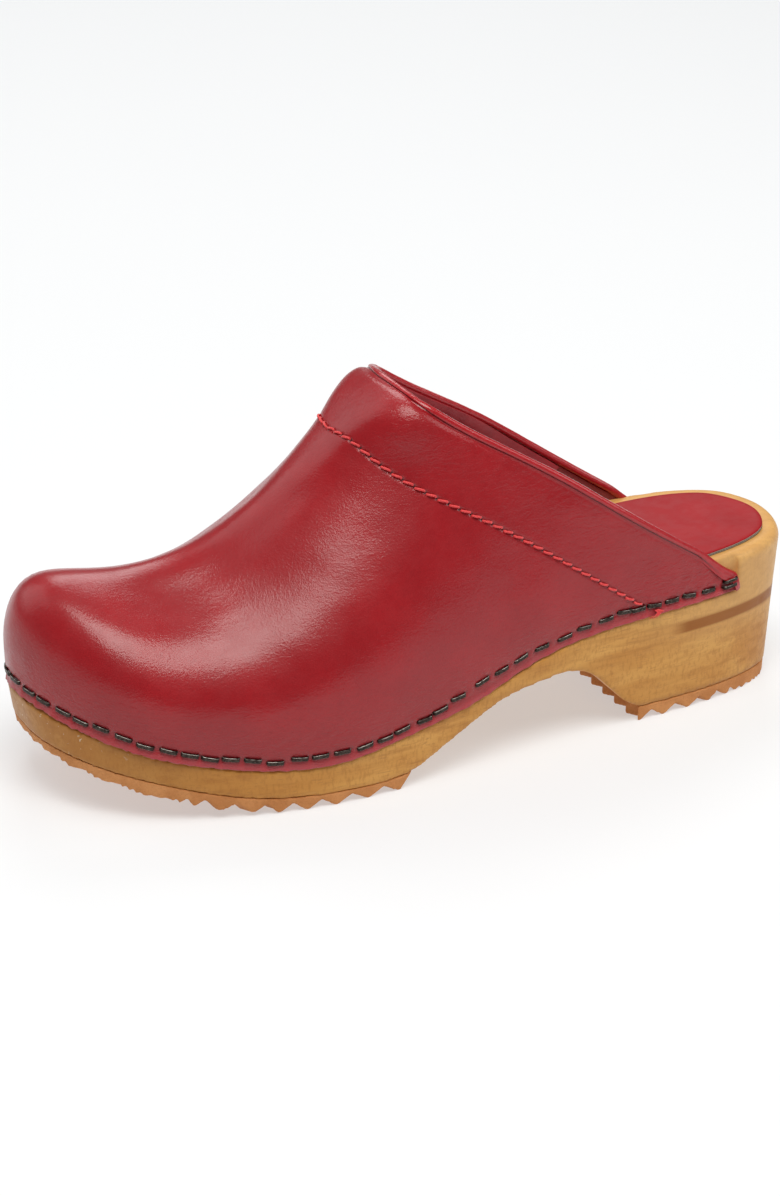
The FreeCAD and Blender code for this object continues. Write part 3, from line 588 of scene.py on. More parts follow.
def wood():
    s = Shader("wood", Coat_Weight=0.08, Coat_Roughness=0.3, Specular_IOR_Level=0.28)
    turn = (0, 5, 3)
    bands = s.noise(7.5, 3, 0.5, scale=(0.07, 1, 0.8), warp=0.35, turn=turn)
    figure = s.noise(2.2, 4, 0.6, scale=(0.045, 1, 1), warp=0.2, turn=turn)
    pores = s.noise(0.5, 2, 0.5, scale=(0.06, 1, 1), turn=turn)
    tick = s.noise(0.9, 3, 0.65, scale=(1, 1, 0.4))
    s.base(s.span(bands, 0.36, 0.66), (0.56, 0.245, 0.044), (0.69, 0.35, 0.082))
    s.tint(s.span(figure, 0.42, 0.74, 0, 0.65), (0.42, 0.16, 0.03))
    s.tint(s.span(pores, 0.58, 0.72, 0, 0.5), (0.37, 0.15, 0.038))
    s.tint(s.span(s.noise(30, 2, 0.5), 0.4, 0.7, 0, 0.35), (0.7, 0.375, 0.1))
    s.tint(s.span(tick, 0.46, 0.68, 0, 0.38), (0.37, 0.13, 0.02))
    # painted shade: the wood darkens towards the toe, where less light falls
    s.tint(s.attribute("toe_shade", 0.6), (0.36, 0.135, 0.02))
    # painted light: the upper heel is lighter where more light falls
    s.tint(s.attribute("heel_light", 0.45), (0.8, 0.5, 0.2))
    s.tint(s.attribute("carved", 0.92), (0.3, 0.088, 0.004))
    s.tint(s.attribute("low_edge", 0.45), (0.34, 0.135, 0.036))
    scuff = s.times(s.attribute("toe"), s.span(s.noise(1.7, 3, 0.6), 0.665, 0.7))
    s.tint(scuff, (0.74, 0.6, 0.42))
    s.bump(pores, 0.05, 0.5)
    s.bump(figure, 0.06, 0.4)
    s.bump(s.times(scuff, -1.0), 0.15, 0.6)
    return s.finish(s.span(figure, 0.3, 0.7, 0.4, 0.52))


def tread_rubber():
    s = Shader("tread_rubber", Specular_IOR_Level=0.35)
    grit = s.noise(0.45, 3, 0.7)
    s.base(s.span(s.noise(9, 4, 0.6), 0.35, 0.7), (0.54, 0.215, 0.066), (0.66, 0.29, 0.1))
    s.tint(s.span(grit, 0.5, 0.72, 0, 0.5), (0.36, 0.135, 0.04))
    # painted shade on the undersides of the tread's hollows
    s.tint(s.attribute("recess_shade", 0.45), (0.35, 0.125, 0.036))
    s.tint(s.span(s.noise(1.1, 3, 0.7), 0.66, 0.76, 0, 0.5), (0.62, 0.38, 0.18))
    s.bump(grit, 0.1, 0.7)
    s.bump(s.noise(2.2, 4, 0.65), 0.2, 0.6)
    return s.finish(s.span(grit, 0.3, 0.7, 0.7, 0.86))


def staple_metal():
    """Tarnished steel, lighter in patches along its corners: partly wear, partly a painted
    highlight.
    """
    s = Shader("staple_wire", Metallic=1.0)
    tarnish = s.noise(0.8, 4, 0.7)
    s.base(s.span(tarnish, 0.4, 0.7), (0.034, 0.026, 0.022), (0.115, 0.095, 0.08))
    corner, patch = s.span(s.attribute("corner"), 0.55, 1.0), s.span(s.noise(1.9, 3), 0.35, 0.6)
    # wear and painted highlight along the corners
    s.tint(s.times(corner, patch), (0.5, 0.47, 0.43))
    s.bump(s.noise(0.5, 3, 0.7), 0.05, 0.6)
    return s.finish(s.span(tarnish, 0.3, 0.7, 0.4, 0.62))


def thread_fibre():
    s = Shader("thread", Sheen_Weight=0.3, Sheen_Roughness=0.4)
    ply = s.noise(0.22, 3, 0.6)
    s.base(s.span(ply, 0.35, 0.7), (0.66, 0.026, 0.03), (0.86, 0.08, 0.08))
    s.bump(ply, 0.05, 0.7)
    return s.finish(0.58)


def cotton():
    s = Shader("cord_cotton", Sheen_Weight=0.2)
    twist = s.noise(0.5, 3, 0.6, scale=(1, 1, 0.4))
    s.base(twist, (0.62, 0.56, 0.45), (0.8, 0.75, 0.64))
    s.bump(twist, 0.15, 0.8)
    return s.finish(0.85)


def foam():
    """Cut edge of the cushion: a pale core between two dark glue lines."""
    s = Shader("foam", Sheen_Weight=0.1)
    cell = s.cells(0.35)
    s.base(s.span(cell, 0.1, 0.6), (0.52, 0.47, 0.38), (0.7, 0.65, 0.54))
    s.tint(s.attribute("glue"), (0.035, 0.028, 0.024))
    s.bump(cell, 0.15, 0.8)
    return s.finish(0.9)


def fibre_board():
    s = Shader("fibre_board", Sheen_Weight=0.1)
    felt = s.noise(0.9, 5, 0.7, warp=0.8)
    s.base(s.span(felt, 0.3, 0.7), (0.4, 0.31, 0.2), (0.56, 0.46, 0.33))
    s.bump(felt, 0.15, 0.7)
    return s.finish(s.span(felt, 0.3, 0.7, 0.8, 0.92))


def studio_floor():
    s = Shader("studio_floor", Specular_IOR_Level=0.1, Emission_Color=(1, 1, 1, 1),
               Emission_Strength=0.46)
    s.base(s.noise(400, 2, 0.5), (0.458, 0.472, 0.482), (0.473, 0.487, 0.497))
    return s.finish(0.9)


MATERIALS = {make.__name__: make() for make in (
    red_leather, flesh_leather, bead_leather, lining_leather, sock_leather, wood, tread_rubber,
    staple_metal, thread_fibre, cotton, foam, fibre_board, studio_floor)}


# ---- upper
# Relief of the leather's outer face. The trimmed edge below the staples flares, most between
# the staples and at the toe, and is frilled and ragged.
SWELLS = [(55.0, 0.28), (17.0, 0.05)]        # wave length, height
MARGIN = 2.8
FLARE, FLARE_BETWEEN, FLARE_TOE = 0.28, 0.34, 0.25
FRILL_WAVE, FRILL, FRILL_TOE = 5.0, 0.08, 0.12
RAGGED_WAVE, RAGGED, RAGGED_TOE = 3.2, 0.10, 0.22
PRESS, CORNER_PRESS = 0.30, 0.35             # under a staple and at its corners
QUILT = 0.12                                 # fullness between the staples
SEAM_DENT, HOLE_DENT, HOLE_R, BEAD_DENT = 0.22, 0.55, 0.46, 0.22
PUFF, SIDE_PUFF, PUFF_AT, PUFF_REACH = 0.15, 2.3, 0.37, 0.16     # fullness of the collar

# Folds over the ball of the foot: x, z, lean in radians, length, strength.
FOLDS = [(-62, 31, 0.55, 13, 0.9), (-55, 27, 0.62, 16, 1.0), (-48, 25, 0.7, 12, 0.8),
         (-70, 36, 0.5, 9, 0.7), (-40, 26, 0.8, 10, 0.6)]
FOLD_DEPTH, FOLD_RIDGE, FOLD_WAVE, FOLD_INNER = 0.13, 0.07, 0.66, 0.6


def row_heights(total):
    """Heights of the mesh rows up each column: close together at the edge, the seam and the top."""
    squeeze = np.minimum(1.0, total / 40.0)
    stops = [0 * total, 12 * squeeze, total - 26 * squeeze, total - 19 * squeeze,
             total - 3 * squeeze, total]
    parts = [a + (b - a) * np.arange(n)[:, None] / n
             for a, b, n in zip(stops, stops[1:], (24, 52, 18, 14, 7))]
    return np.vstack(parts + [total[None, :]])


def staple_marks(at, height):
    """How far the leather is pressed in round the staples, and how much painted shade darkens the
    dents.
    """
    press = np.zeros_like(at)
    dent_shade = np.zeros_like(at)
    for s, h, turn, _ in STAPLES:
        near = np.abs(at - s) < 7.5
        a, b = at[near] - s, height[near] - h
        angle = math.radians(turn)
        a, b = (a * math.cos(angle) + b * math.sin(angle),
                b * math.cos(angle) - a * math.sin(angle))
        past_end = np.abs(a) - STAPLE_CROWN / 2
        beyond = np.maximum(past_end + 0.35, 0)
        press[near] -= PRESS * bell(beyond, 0.8) * bell(b, 1.5)
        press[near] -= CORNER_PRESS * bell(past_end - 0.1, 0.55) * bell(b, 0.9)
        dent_shade[near] += bell(beyond, 0.5) * bell(np.maximum(np.abs(b) - 0.75, 0), 0.42)
    return press, np.clip(dent_shade, 0, 1)


def creases(p):
    """Shallow folds where the leather bends over the ball of the foot, weaker on the inner side."""
    depth = np.zeros(p.shape[:-1])
    x, z = p[..., 0], p[..., 2]
    side = np.where(p[..., 1] < 0, 1.0, FOLD_INNER)
    for k, (cx, cz, lean, length, strength) in enumerate(FOLDS):
        cos, sin = math.cos(lean), math.sin(lean)
        along = (x - cx) * cos + (z - cz) * sin
        off = (z - cz) * cos - (x - cx) * sin + FOLD_WAVE * np.sin(x / 3.1 + k)
        reach = strength * side * bell(along, length * 0.6)
        depth += reach * (FOLD_RIDGE * bell(off - 2.0, 1.2) - FOLD_DEPTH * bell(off, 0.9))
    return depth


def needle_holes(p, below_top):
    """How close each point is to a needle hole of the seam, 0 to 1."""
    hole = np.zeros_like(below_top)
    close = np.abs(below_top - COLLAR_DEPTH) < 2.5
    marks = np.zeros(np.count_nonzero(close))
    for hu, hv in SEAM.values():
        for q in skin(hu, hv):
            marks = np.maximum(marks, np.exp(-((p[close] - q) ** 2).sum(axis=1) / HOLE_R ** 2))
    hole[close] = marks
    return hole


def relief(p, v, height, below_top, between, toe):
    """How far the leather stands off its smooth surface, away from staples and stitches."""
    away = smooth(height, 1.0, 9.0) * smooth(below_top, 0.5, 8.0)
    swell = sum(lumps(p, wave, SEED + k, 2) * high * away for k, (wave, high) in enumerate(SWELLS))
    margin = np.clip(1 - height / MARGIN, 0, 1)
    flare = margin ** 1.3 * (FLARE + FLARE_BETWEEN * between + FLARE_TOE * toe)
    frill = lumps(p, FRILL_WAVE, SEED + 2) * margin * (FRILL + FRILL_TOE * toe)
    quilt = QUILT * between * bell(height - STAPLE_LINE - 2.0, 2.2)
    band = np.clip(below_top / COLLAR_DEPTH, 0, 1)
    puff = (PUFF + SIDE_PUFF * bell(np.abs(v) - PUFF_AT, PUFF_REACH)) * np.sin(
        math.pi * band ** 0.65) * (1 - smooth(np.abs(v), 0.6, 0.85))
    seam = bell(below_top - COLLAR_DEPTH, 0.75) * smooth(np.abs(v), SEAM_END, 0.9)
    sunk = SEAM_DENT * seam + BEAD_DENT * bell(below_top - 0.5, 0.8)
    return swell + flare + frill + quilt + puff + creases(p) - sunk


def build_upper():
    at = np.linspace(RULER.edge[0], RULER.edge[-1], 660)
    columns = RULER.v_at(at)
    total = RULER.height(columns)
    height = row_heights(total)
    below_top = total - height
    table = RULER.column(columns)
    u = np.stack([np.interp(height[:, k], table[:, k], RULER.u) for k in range(len(at))], axis=1)
    v = np.broadcast_to(columns, u.shape)
    p, n, _, up = skin_frame(u, v)
    toe = smooth(-p[..., 0], 60, 115)
    apart = np.abs(at[:, None] - np.array([place[0] for place in STAPLES])).min(axis=1)
    press, dent_shade = staple_marks(np.broadcast_to(at, u.shape), height)
    hole = needle_holes(p, below_top)
    stand = relief(p, v, height, below_top, smooth(apart, 1.6, 3.9), toe)
    outer = p + n * (stand + press - HOLE_DENT * hole)[..., None]
    ragged = lumps(p, RAGGED_WAVE, SEED + 3) * (RAGGED + RAGGED_TOE * toe)
    outer = outer + up * (ragged * np.clip(1 - height / 1.5, 0, 1))[..., None]
    obj = sheet("upper_skin", outer, p - n * LEATHER, "red_leather", 0.25)

    # the inner face has its own rough material
    obj.data.materials.append(MATERIALS["flesh_leather"])
    first = (u.shape[0] - 1) * (u.shape[1] - 1)
    index = np.zeros(len(obj.data.polygons), np.int32)
    index[first:2 * first] = 1
    obj.data.polygons.foreach_set("material_index", index)

    # edge_mm and top_mm are lengths, and rim is their value round the sheet's cut edge
    for name, values, rim in (("edge_mm", height, 0.1), ("top_mm", below_top, 0.1),
                              # needle holes, for the dent and for painted shade
                              ("hole", np.clip(hole * 1.3, 0, 1), 0.0),
                              # painted shade in the dents round the staples
                              ("dent_shade", dent_shade * smooth(height, 0.2, 1.5), 0.0)):
        full = np.full(len(obj.data.vertices), rim)
        full[:2 * u.size] = np.tile(values.ravel(), 2)
        add_attribute(obj, name, full)
    return obj


# ---- layers inside the upper
def layer(name, v, low, high, rows, outside, inside, material, rim, raised=0.0):
    """Closed sheet under the leather, between heights low and high (u per column). Its faces lie
    at depths outside(w) and inside(w), for w from 0 at low to 1 at high."""
    w = np.linspace(0, 1, rows)[:, None]
    u = low + (high - low) * w
    vv = np.broadcast_to(v, u.shape)
    p, n, _, up = skin_frame(u, vv)
    lift = raised * smooth(w, 0.85, 1.0) * smooth(np.abs(vv), 0.84, 0.66)
    p = p + (up - 0.35 * n) * lift[..., None]
    return sheet(name, p - n * outside(w)[..., None], p - n * inside(w)[..., None], material, rim)


RIPPLE = 0.06          # of the lining's inner face


def pad_depth(w):
    return PAD_EDGE + PAD_MAX * np.sin(math.pi * w) ** 0.8


def collar_layers():
    v = np.linspace(-COLLAR_END, COLLAR_END, 361)
    low = np.maximum(RULER.u_at(v, LINING_DEPTH, True), RULER.u_clear(v, 2.8))
    low = average(low, 13)
    high = RULER.u_at(v, PAD_EDGE, True)
    near = LEATHER + GAP
    ripple = RIPPLE * np.sin(np.linspace(0, 160, len(v)))
    pad = layer("collar_pad", v, low, high, 24, lambda w: near + 0 * w,
                lambda w: near + pad_depth(w), "foam", 0.12)
    add_attribute(pad, "glue", np.zeros(len(pad.data.vertices)))
    band = layer("lining_band", v, low, high, 30, lambda w: near + GAP + pad_depth(w),
                 lambda w: near + GAP + LINING + pad_depth(w) + ripple * np.sin(math.pi * w),
                 "lining_leather", 0.2, raised=1.1)
    return pad, band


def toe_counter():
    v = np.linspace(-0.36, 0.36, 121)
    low = average(RULER.u_clear(v, 0.6), 9)
    near = LEATHER + GAP

    def inside(w):
        skive = np.sin(math.pi * np.clip(w, 0.04, 0.96)) ** 0.25
        return near + STIFFENER * skive

    return layer("toe_counter", v, low, 0.62 - 0.9 * v ** 2, 40, lambda w: near + 0 * w, inside,
                 "fibre_board", 0.15)


# ---- piping
# The bead's middle lies inside the leather's face and above the topline. Its outline's bumps
# are a place in degrees, a width and a height.
BEAD_IN = 1.25
BEAD_UP = 1.42
BEAD_R = 1.42
BEAD_BUMPS = [(-36, 9, -0.34), (-62, 13, 0.34), (-115, 30, -0.2), (112, 10, 0.1), (-92, 9, -0.16)]
TAIL = 4.6             # folded end beyond the topline, and its stations
TAIL_STEPS = 13
CORD_TRIM = 12         # stations left out at each end of the cord


def bead_outline(steps=40):
    """Bead with a fold line along its top, a narrow lip over the leather, a painted highlight on
    the fold and painted shade in its grooves.
    """
    a = angles(steps)

    def bump_at(middle, width):
        return bell((np.degrees(a) - middle + 180) % 360 - 180, width)

    r = BEAD_R + sum(high * bump_at(middle, width) for middle, width, high in BEAD_BUMPS)
    # painted highlight along the fold
    crest_highlight = bump_at(104, 7) * 0.9
    # painted shade in the grooves
    groove_shade = np.clip(bump_at(-36, 8) + bump_at(-92, 12), 0, 1)
    return circle(r, steps), crest_highlight, groove_shade


def topline(count):
    """Stations along the topline."""
    return skin_frame(np.ones(count), np.linspace(-1, 1, count))


def build_bead(count=640):
    p, n, side, up = topline(count)
    middle = p + up * BEAD_UP - n * BEAD_IN
    outline, crest_highlight, groove_shade = bead_outline()
    rng = np.random.default_rng(SEED + 5)
    pucker = np.convolve(rng.normal(size=count + 8), np.ones(9) / 9, mode="valid") * 0.05
    shape = outline * (1 + pucker)[:, None, None]

    # the piping flattens and folds down at each end, and its tail runs on over the leather
    ends = smooth(np.abs(np.linspace(-1, 1, count)), 0.955, 0.995)[:, None]
    turned = ends * bell(np.degrees(angles(len(outline))) - 305, 40)
    shape = shape * (1 - 0.2 * ends[..., None]) + np.stack([1.15 * turned, -1.7 * turned], -1)
    middle = middle - up * 1.9 * ends + n * 0.35 * ends
    steps = np.linspace(0, 1, TAIL_STEPS + 1)[1:, None]
    tails = []
    for end, sign in ((0, -1), (-1, 1)):
        way = unit(side[end] * sign * 0.35 - up[end])
        out = 1.25 * steps + 0.5 * np.sin(math.pi * steps)
        tails.append(middle[end] + way * steps * TAIL + n[end] * out)
    path = np.vstack([tails[0][::-1], middle, tails[1]])

    def extend(a):
        return np.concatenate([np.repeat(a[:1], TAIL_STEPS, 0), a,
                               np.repeat(a[-1:], TAIL_STEPS, 0)])

    n, up = extend(n), extend(up)
    heading, across = square_to(path, n)
    rise = unit(np.cross(heading, across))
    rise = rise * np.sign(rise[TAIL_STEPS + 1] @ up[TAIL_STEPS + 1])
    taper = np.ones(len(path))
    taper[:TAIL_STEPS] = np.linspace(0.55, 0.95, TAIL_STEPS)
    taper[-TAIL_STEPS:] = taper[TAIL_STEPS - 1::-1]
    part = tube(path, across, rise, extend(shape) * taper[:, None, None])
    obj = joined("topline_bead", [part], "bead_leather", 80)
    # painted highlight mask along the fold
    add_attribute(obj, "crest_highlight", np.tile(crest_highlight, len(path)))
    middle_part = np.concatenate([np.zeros((TAIL_STEPS, 1)), 1 - ends, np.zeros((TAIL_STEPS, 1))])
    # painted shade in the grooves, left off the folded ends
    add_attribute(obj, "groove_shade", groove_shade * middle_part)
    return obj


def build_bead_cord(count=400, ply=3):
    p, n, _, up = (a[CORD_TRIM:-CORD_TRIM] for a in topline(count + 2 * CORD_TRIM))
    twist = np.linspace(0, 2 * math.pi * 40, count)[:, None]
    r = CORD_R * (0.9 + 0.1 * np.cos(ply * (angles(10) - twist)))
    part = tube(p + up * BEAD_UP - n * BEAD_IN, n, up, circle(r, 10))
    return joined("bead_cord", [part], "cotton", 60)


# ---- stitches
STITCH_SINK, STITCH_RISE, STITCH_SLANT = 0.55, 0.98, 0.30
THREAD_R, STRAND_R = 0.40, 0.19
STRANDS = 16


def build_stitches():
    """Two-ply thread, one raised stitch between each pair of needle holes."""
    parts = []
    t = np.linspace(0, 1, 15)[:, None]
    r = THREAD_R * (0.87 + 0.16 * np.abs(np.cos(angles(12) - 2 * math.pi * 1.1 * t)))
    shape = circle(r, 12) * [1, 0.9]
    for side_sign, (hu, hv) in SEAM.items():
        p, n, _, _ = skin_frame(hu, hv)
        for p0, p1, n0, n1 in zip(p, p[1:], n, n[1:]):
            out = unit(n0 + (n1 - n0) * t)
            across = unit(np.cross(out, unit(p1 - p0)))
            lift = STITCH_RISE * np.sin(math.pi * t) ** 0.45 - STITCH_SINK
            slant = STITCH_SLANT * np.cos(math.pi * t) * side_sign
            path = p0 + (p1 - p0) * (0.12 + 0.76 * t) + out * lift + across * slant
            heading, rise = square_to(path, out)
            parts.append(tube(path, unit(np.cross(heading, rise)), rise, shape))
    return joined("seam_thread", parts, "thread_fibre", 80)


def build_thread_tails():
    """Frayed ends: each seam's thread comes out below the staples as a small tuft."""
    parts = []
    rng = np.random.default_rng(SEED + 6)
    t = np.linspace(0, 1, 12)[:, None]
    shape = circle(STRAND_R, 8) * (1 - 0.55 * t)[:, None]
    for side_sign, (_, hv) in SEAM.items():
        v_end = hv[-1:] + 0.012 * side_sign
        u_end = RULER.u_at(v_end, STAPLE_LINE - 1.4)
        p, n, side, up = (x[0] for x in skin_frame(u_end, v_end))
        side = side * side_sign
        for _ in range(STRANDS):
            lean, drop = rng.uniform(-1.9, 2.3), rng.uniform(0.9, 3.0)
            curl = rng.uniform(0.3, 1.3)
            begin = p + n * rng.uniform(0.0, 0.5) + side * rng.uniform(-0.9, 0.9)
            bend = side * curl * np.sin(math.pi * t * rng.uniform(0.8, 1.5))
            fall = side * lean * t - up * drop * t + n * (0.25 + 0.9 * np.sin(math.pi * t))
            path = begin + fall + bend
            heading = unit(np.gradient(path, axis=0))
            wide = unit(np.cross(heading, n))
            parts.append(tube(path, wide, np.cross(wide, heading), shape))
    return joined("thread_tails", parts, "thread_fibre", 80)


# ---- staples
CORNER_R, BEND_R, LEG = 0.28, 0.65, 3.2    # wire's corners, its bends, and a leg's visible part
CROWN_LIFT = 0.22                # of the crown's middle line over the leather
END_BACK, END_TURN, END_LIFT = 9.0, 9.0, 1.0


def staple_section(steps=5):
    """Flat wire's rounded section, and how near each point is to a corner."""
    pts, corner = [], []
    for sx, sy, a0 in ((1, 1, 0), (-1, 1, 90), (-1, -1, 180), (1, -1, 270)):
        for k in range(steps):
            a = math.radians(a0 + 90 * k / (steps - 1))
            pts.append((sx * (STAPLE_WIDTH / 2 - CORNER_R) + CORNER_R * math.cos(a),
                        sy * (STAPLE_WIRE / 2 - CORNER_R) + CORNER_R * math.sin(a)))
            corner.append(math.sin(math.radians(180 * k / (steps - 1))))
    return np.array(pts), np.array(corner)


def staple_bend():
    """Path of the wire in the staple's plane: leg, bend, crown, bend, leg."""
    half = STAPLE_CROWN / 2 - STAPLE_WIRE / 2
    flat = half - BEND_R
    leg = [(-half, CROWN_LIFT - down) for down in (LEG, 2.0, BEND_R)]
    leg += [(BEND_R * math.cos(a) - flat, CROWN_LIFT - BEND_R + BEND_R * math.sin(a))
            for a in np.radians([160, 135, 112])]
    crown = [(x, CROWN_LIFT + 0.03 * math.cos(x * 1.1)) for x in np.linspace(-flat, flat, 9)]
    return np.array(leg + crown + [(-x, y) for x, y in leg[::-1]])


def square_up(side, n, up):
    """Direction square to side and n, on up's side."""
    square = np.cross(side, n)
    return unit(square) * np.sign(square @ up)


def build_staples(group):
    section, corner = staple_section()
    bend = staple_bend()
    doubled = group == "end_staples"
    squeeze = [0.66 if doubled else 0.86, 1.0]
    parts = []
    for s, h, turn, own in STAPLES:
        if own != group:
            continue
        v = RULER.v_at(np.array([s]))
        p, n, side, up = (x[0] for x in skin_frame(RULER.u_at(v, h), v))
        up = square_up(side, n, up)
        if doubled:
            # both lie in line with the row, not round the corner
            v = RULER.v_at(np.array([s - END_BACK * np.sign(s)]))
            side = skin_frame(RULER.u_at(v, END_STAPLES[0]), v)[2][0]
            side = unit(side - n * (side @ n))
            up = square_up(side, n, up)
            turn = END_TURN * np.sign(s)
            p = p + n * END_LIFT
        a = math.radians(turn)
        lay = unit(side * math.cos(a) + up * math.sin(a))
        wide = unit(np.cross(n, lay))
        path = p + bend[:, :1] * lay + bend[:, 1:] * n
        rise = unit(np.cross(unit(np.gradient(path, axis=0)), wide))
        dent = 1 + 0.05 * np.sin(np.arange(len(path)) * 1.3 + s)
        shape = section * dent[:, None, None] * squeeze
        parts.append(tube(path, np.broadcast_to(wide, path.shape), rise, shape))
    name = "staple_row_" + group.replace("staples", "").strip("_")
    obj = joined(name, parts, "staple_metal", 50)
    add_attribute(obj, "corner", np.tile(corner, len(bend) * len(parts)))
    return obj


# ---- sock and cushion
ROUND_WIDTH = 1.3      # of the rounding along the rim
HEEL_HOLLOW = 0.5


def plan_ring(inset, z, steps=400):
    """Closed plan outline moved in by inset, at height z."""
    ring = np.array(HALF_WIDTH + [(x, -w) for x, w in HALF_WIDTH[-2::-1]], float)
    run = run_length(ring)
    curve = spline(run, ring, periodic=True)
    t = np.linspace(0, run[-1], steps, endpoint=False)
    p = curve(t)
    d = unit(curve(t + 0.01) - curve((t - 0.01) % run[-1]))
    n = np.stack([-d[:, 1], d[:, 0]], -1)
    n *= np.sign(((p - [4.0, 0]) * n).sum(axis=1, keepdims=True))
    lean = SIDE_LEAN + END_LEAN * n[:, :1] ** 4
    waist = (INNER_INSET + WAIST * bell(p[:, :1] - 52, 34)) * smooth(p[:, 1:], -14, 26)
    q = p - n * (inset + waist + lean * (RIM_Z - z))
    q[:, 1] += plan_bend(q[:, 0])
    return q


def footbed_layer(name, low, high, material, rounding):
    """Thin layer on the footbed: rings from the rim in to the middle, top and underside."""
    rim = plan_ring(SOCK_INSET, 40.0)
    x = np.clip(rim[:, 0], -96, 108)
    spine = np.column_stack([x, plan_bend(x)])
    reach = np.linalg.norm(rim - spine, axis=1)[:, None]
    depths = np.concatenate([[0, 0.15, 0.4, 0.8, ROUND_WIDTH], np.linspace(2.2, reach.max(), 26)])
    ramp = unit(rim - spine)

    def ring(xy, z):
        return np.column_stack([xy, footbed_z(xy[:, 0]) + z])

    def inner(depth):
        """Rings near the rim keep their distance from it, and further in they shrink evenly."""
        span = reach if depth <= 2 else reach.max()
        return rim + (spine - rim) * np.clip(depth / span, 0, 1)

    def top(depth):
        xy = inner(depth)
        slope = 1 - min(depth / ROUND_WIDTH, 1)
        edge = rounding * (1 - math.sqrt(1 - slope ** 2))
        hollow = HEEL_HOLLOW * bell(xy[:, 0] - 100, 30) * bell(xy[:, 1], 18) * min(depth / 8, 1)
        return ring(xy, high - edge - hollow)

    rings = [(top(depth), 0.0) for depth in depths[::-1]]
    for z in np.linspace(high - rounding, low, 7)[1:-1]:
        share = (z - low) / (high - low)
        rings.append((ring(rim + ramp * 0.12 * math.sin(math.pi * share), z), share))
    rings += [(ring(inner(depth), low), 0.0) for depth in depths]
    points, shares = zip(*rings)
    obj = make_object(name, np.vstack(points), quads(len(rings), len(rim), wrap=True), material, 50)
    share = np.repeat(shares, len(rim))
    add_attribute(obj, "glue", (share > 0.52) | ((share > 0) & (share < 0.34)))
    bm = bmesh.new()
    bm.from_mesh(obj.data)
    bmesh.ops.remove_doubles(bm, verts=bm.verts, dist=1e-6)
    bm.to_mesh(obj.data)
    bm.free()
    return obj


# ---- wood and rubber
WEAR, NICK = 0.06, 0.2


def eased_copy(name, node, voxel, passes, material):
    """The CAD solid with its sharp corners eased, as sanding or moulding leaves them."""
    obj = add_object(name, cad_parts[node].data.copy())
    remesh = obj.modifiers.new("remesh", "REMESH")
    remesh.mode = "VOXEL"
    remesh.voxel_size = voxel * MM
    ease = obj.modifiers.new("ease", "SMOOTH")
    ease.factor = 0.5
    ease.iterations = passes
    evaluated = obj.evaluated_get(bpy.context.evaluated_depsgraph_get())
    final = bpy.data.meshes.new_from_object(evaluated)
    obj.modifiers.clear()
    obj.data = final
    final.name = name
    final.materials.clear()
    final.materials.append(MATERIALS[material])
    final.shade_smooth()
    return obj


def vertex_values(obj, key):
    values = np.zeros(len(obj.data.vertices) * 3, np.float32)
    obj.data.vertices.foreach_get(key, values)
    return values.reshape(-1, 3)


def drawing_points(obj):
    return vertex_values(obj, "co").astype(float) / MM - ORIGIN


def build_wood():
    """The sole, with places for its colours: carved line, darker lower edge, painted toe shade,
    painted heel light, toe scuffs.
    """
    obj = eased_copy("sole_wood", "wooden_sole", 0.75, 3, "wood")
    x, y, z = drawing_points(obj).T
    band = 1 - smooth(np.abs(z - GROOVE_Z - 0.2 * np.sin(y / 9.0)), GROOVE_HALF - 1.0, GROOVE_HALF)
    add_attribute(obj, "carved", band * smooth(x, GROOVE_START - 6, GROOVE_START + 3))
    add_attribute(obj, "low_edge", (1 - smooth(z, 4.8, 7.5)) * smooth(x, 55, 70))
    # painted shade towards the toe
    add_attribute(obj, "toe_shade", smooth(-x, 55, 112))
    # painted light on the upper part of the heel
    add_attribute(obj, "heel_light", smooth(x, 55, 118) * smooth(z, 16, 34))
    add_attribute(obj, "toe", smooth(-x, 95, 118) * smooth(z, 18, 22))
    return obj


def build_tread(name, node):
    """Moulded rubber with slight wear and small nicks, still flat on the floor."""
    obj = eased_copy(name, node, 0.4, 1, "tread_rubber")
    p, normals = drawing_points(obj), vertex_values(obj, "normal")
    wear = lumps(p, 6.0, SEED + 8) * WEAR
    nick = np.clip(lumps(p, 4.0, SEED + 9) - 0.75, 0, 1) * NICK
    moved = p + normals * (wear - nick)[:, None]
    moved[:, 2] = np.maximum(moved[:, 2], 0.0)
    obj.data.vertices.foreach_set("co", to_row(moved).astype(np.float32).ravel())
    obj.data.update()
    # painted shade: downward faces of the tread's hollows, above the floor
    shade_facing = smooth(-normals[:, 2], 0.2, 0.8) * smooth(p[:, 2], 1.2, 2.6)
    add_attribute(obj, "recess_shade", shade_facing * (p[:, 0] > -70))
    return obj


# ---- build
def stand_for(piece, slot, *nodes):
    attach(piece, "root")
    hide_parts(*nodes)


stand_for(build_upper(), "red_leather", "upper")
collar_pad, lining_band = collar_layers()
stand_for(collar_pad, "foam", "collar_padding")
stand_for(lining_band, "lining_leather", "collar_lining")
stand_for(toe_counter(), "stiffener", "toe_stiffener")
stand_for(build_bead(), "piping_leather", "topline_piping")
stand_for(build_bead_cord(), "cord", "piping_cord")
stand_for(build_stitches(), "thread", "collar_stitching")
stand_for(build_thread_tails(), "thread", "seam_thread_ends")
for group in ("staples_outer", "staples_inner", "staples_toe", "end_staples"):
    stand_for(build_staples(group), "staple_wire", group)
sock = footbed_layer("sock_face", CUSHION + 0.02, CUSHION + SOCK, "sock_leather", 0.35)
stand_for(sock, "sock_leather", "sock_leather")
cushion = footbed_layer("sock_cushion_core", 0.02, CUSHION, "foam", 0.1)
stand_for(cushion, "foam", "sock_cushion")
stand_for(build_wood(), "wood", "wooden_sole")
stand_for(build_tread("tread_forefoot", "forefoot_outsole"), "outsole_rubber", "forefoot_outsole")
stand_for(build_tread("tread_heel", "heel_outsole"), "outsole_rubber", "heel_outsole")


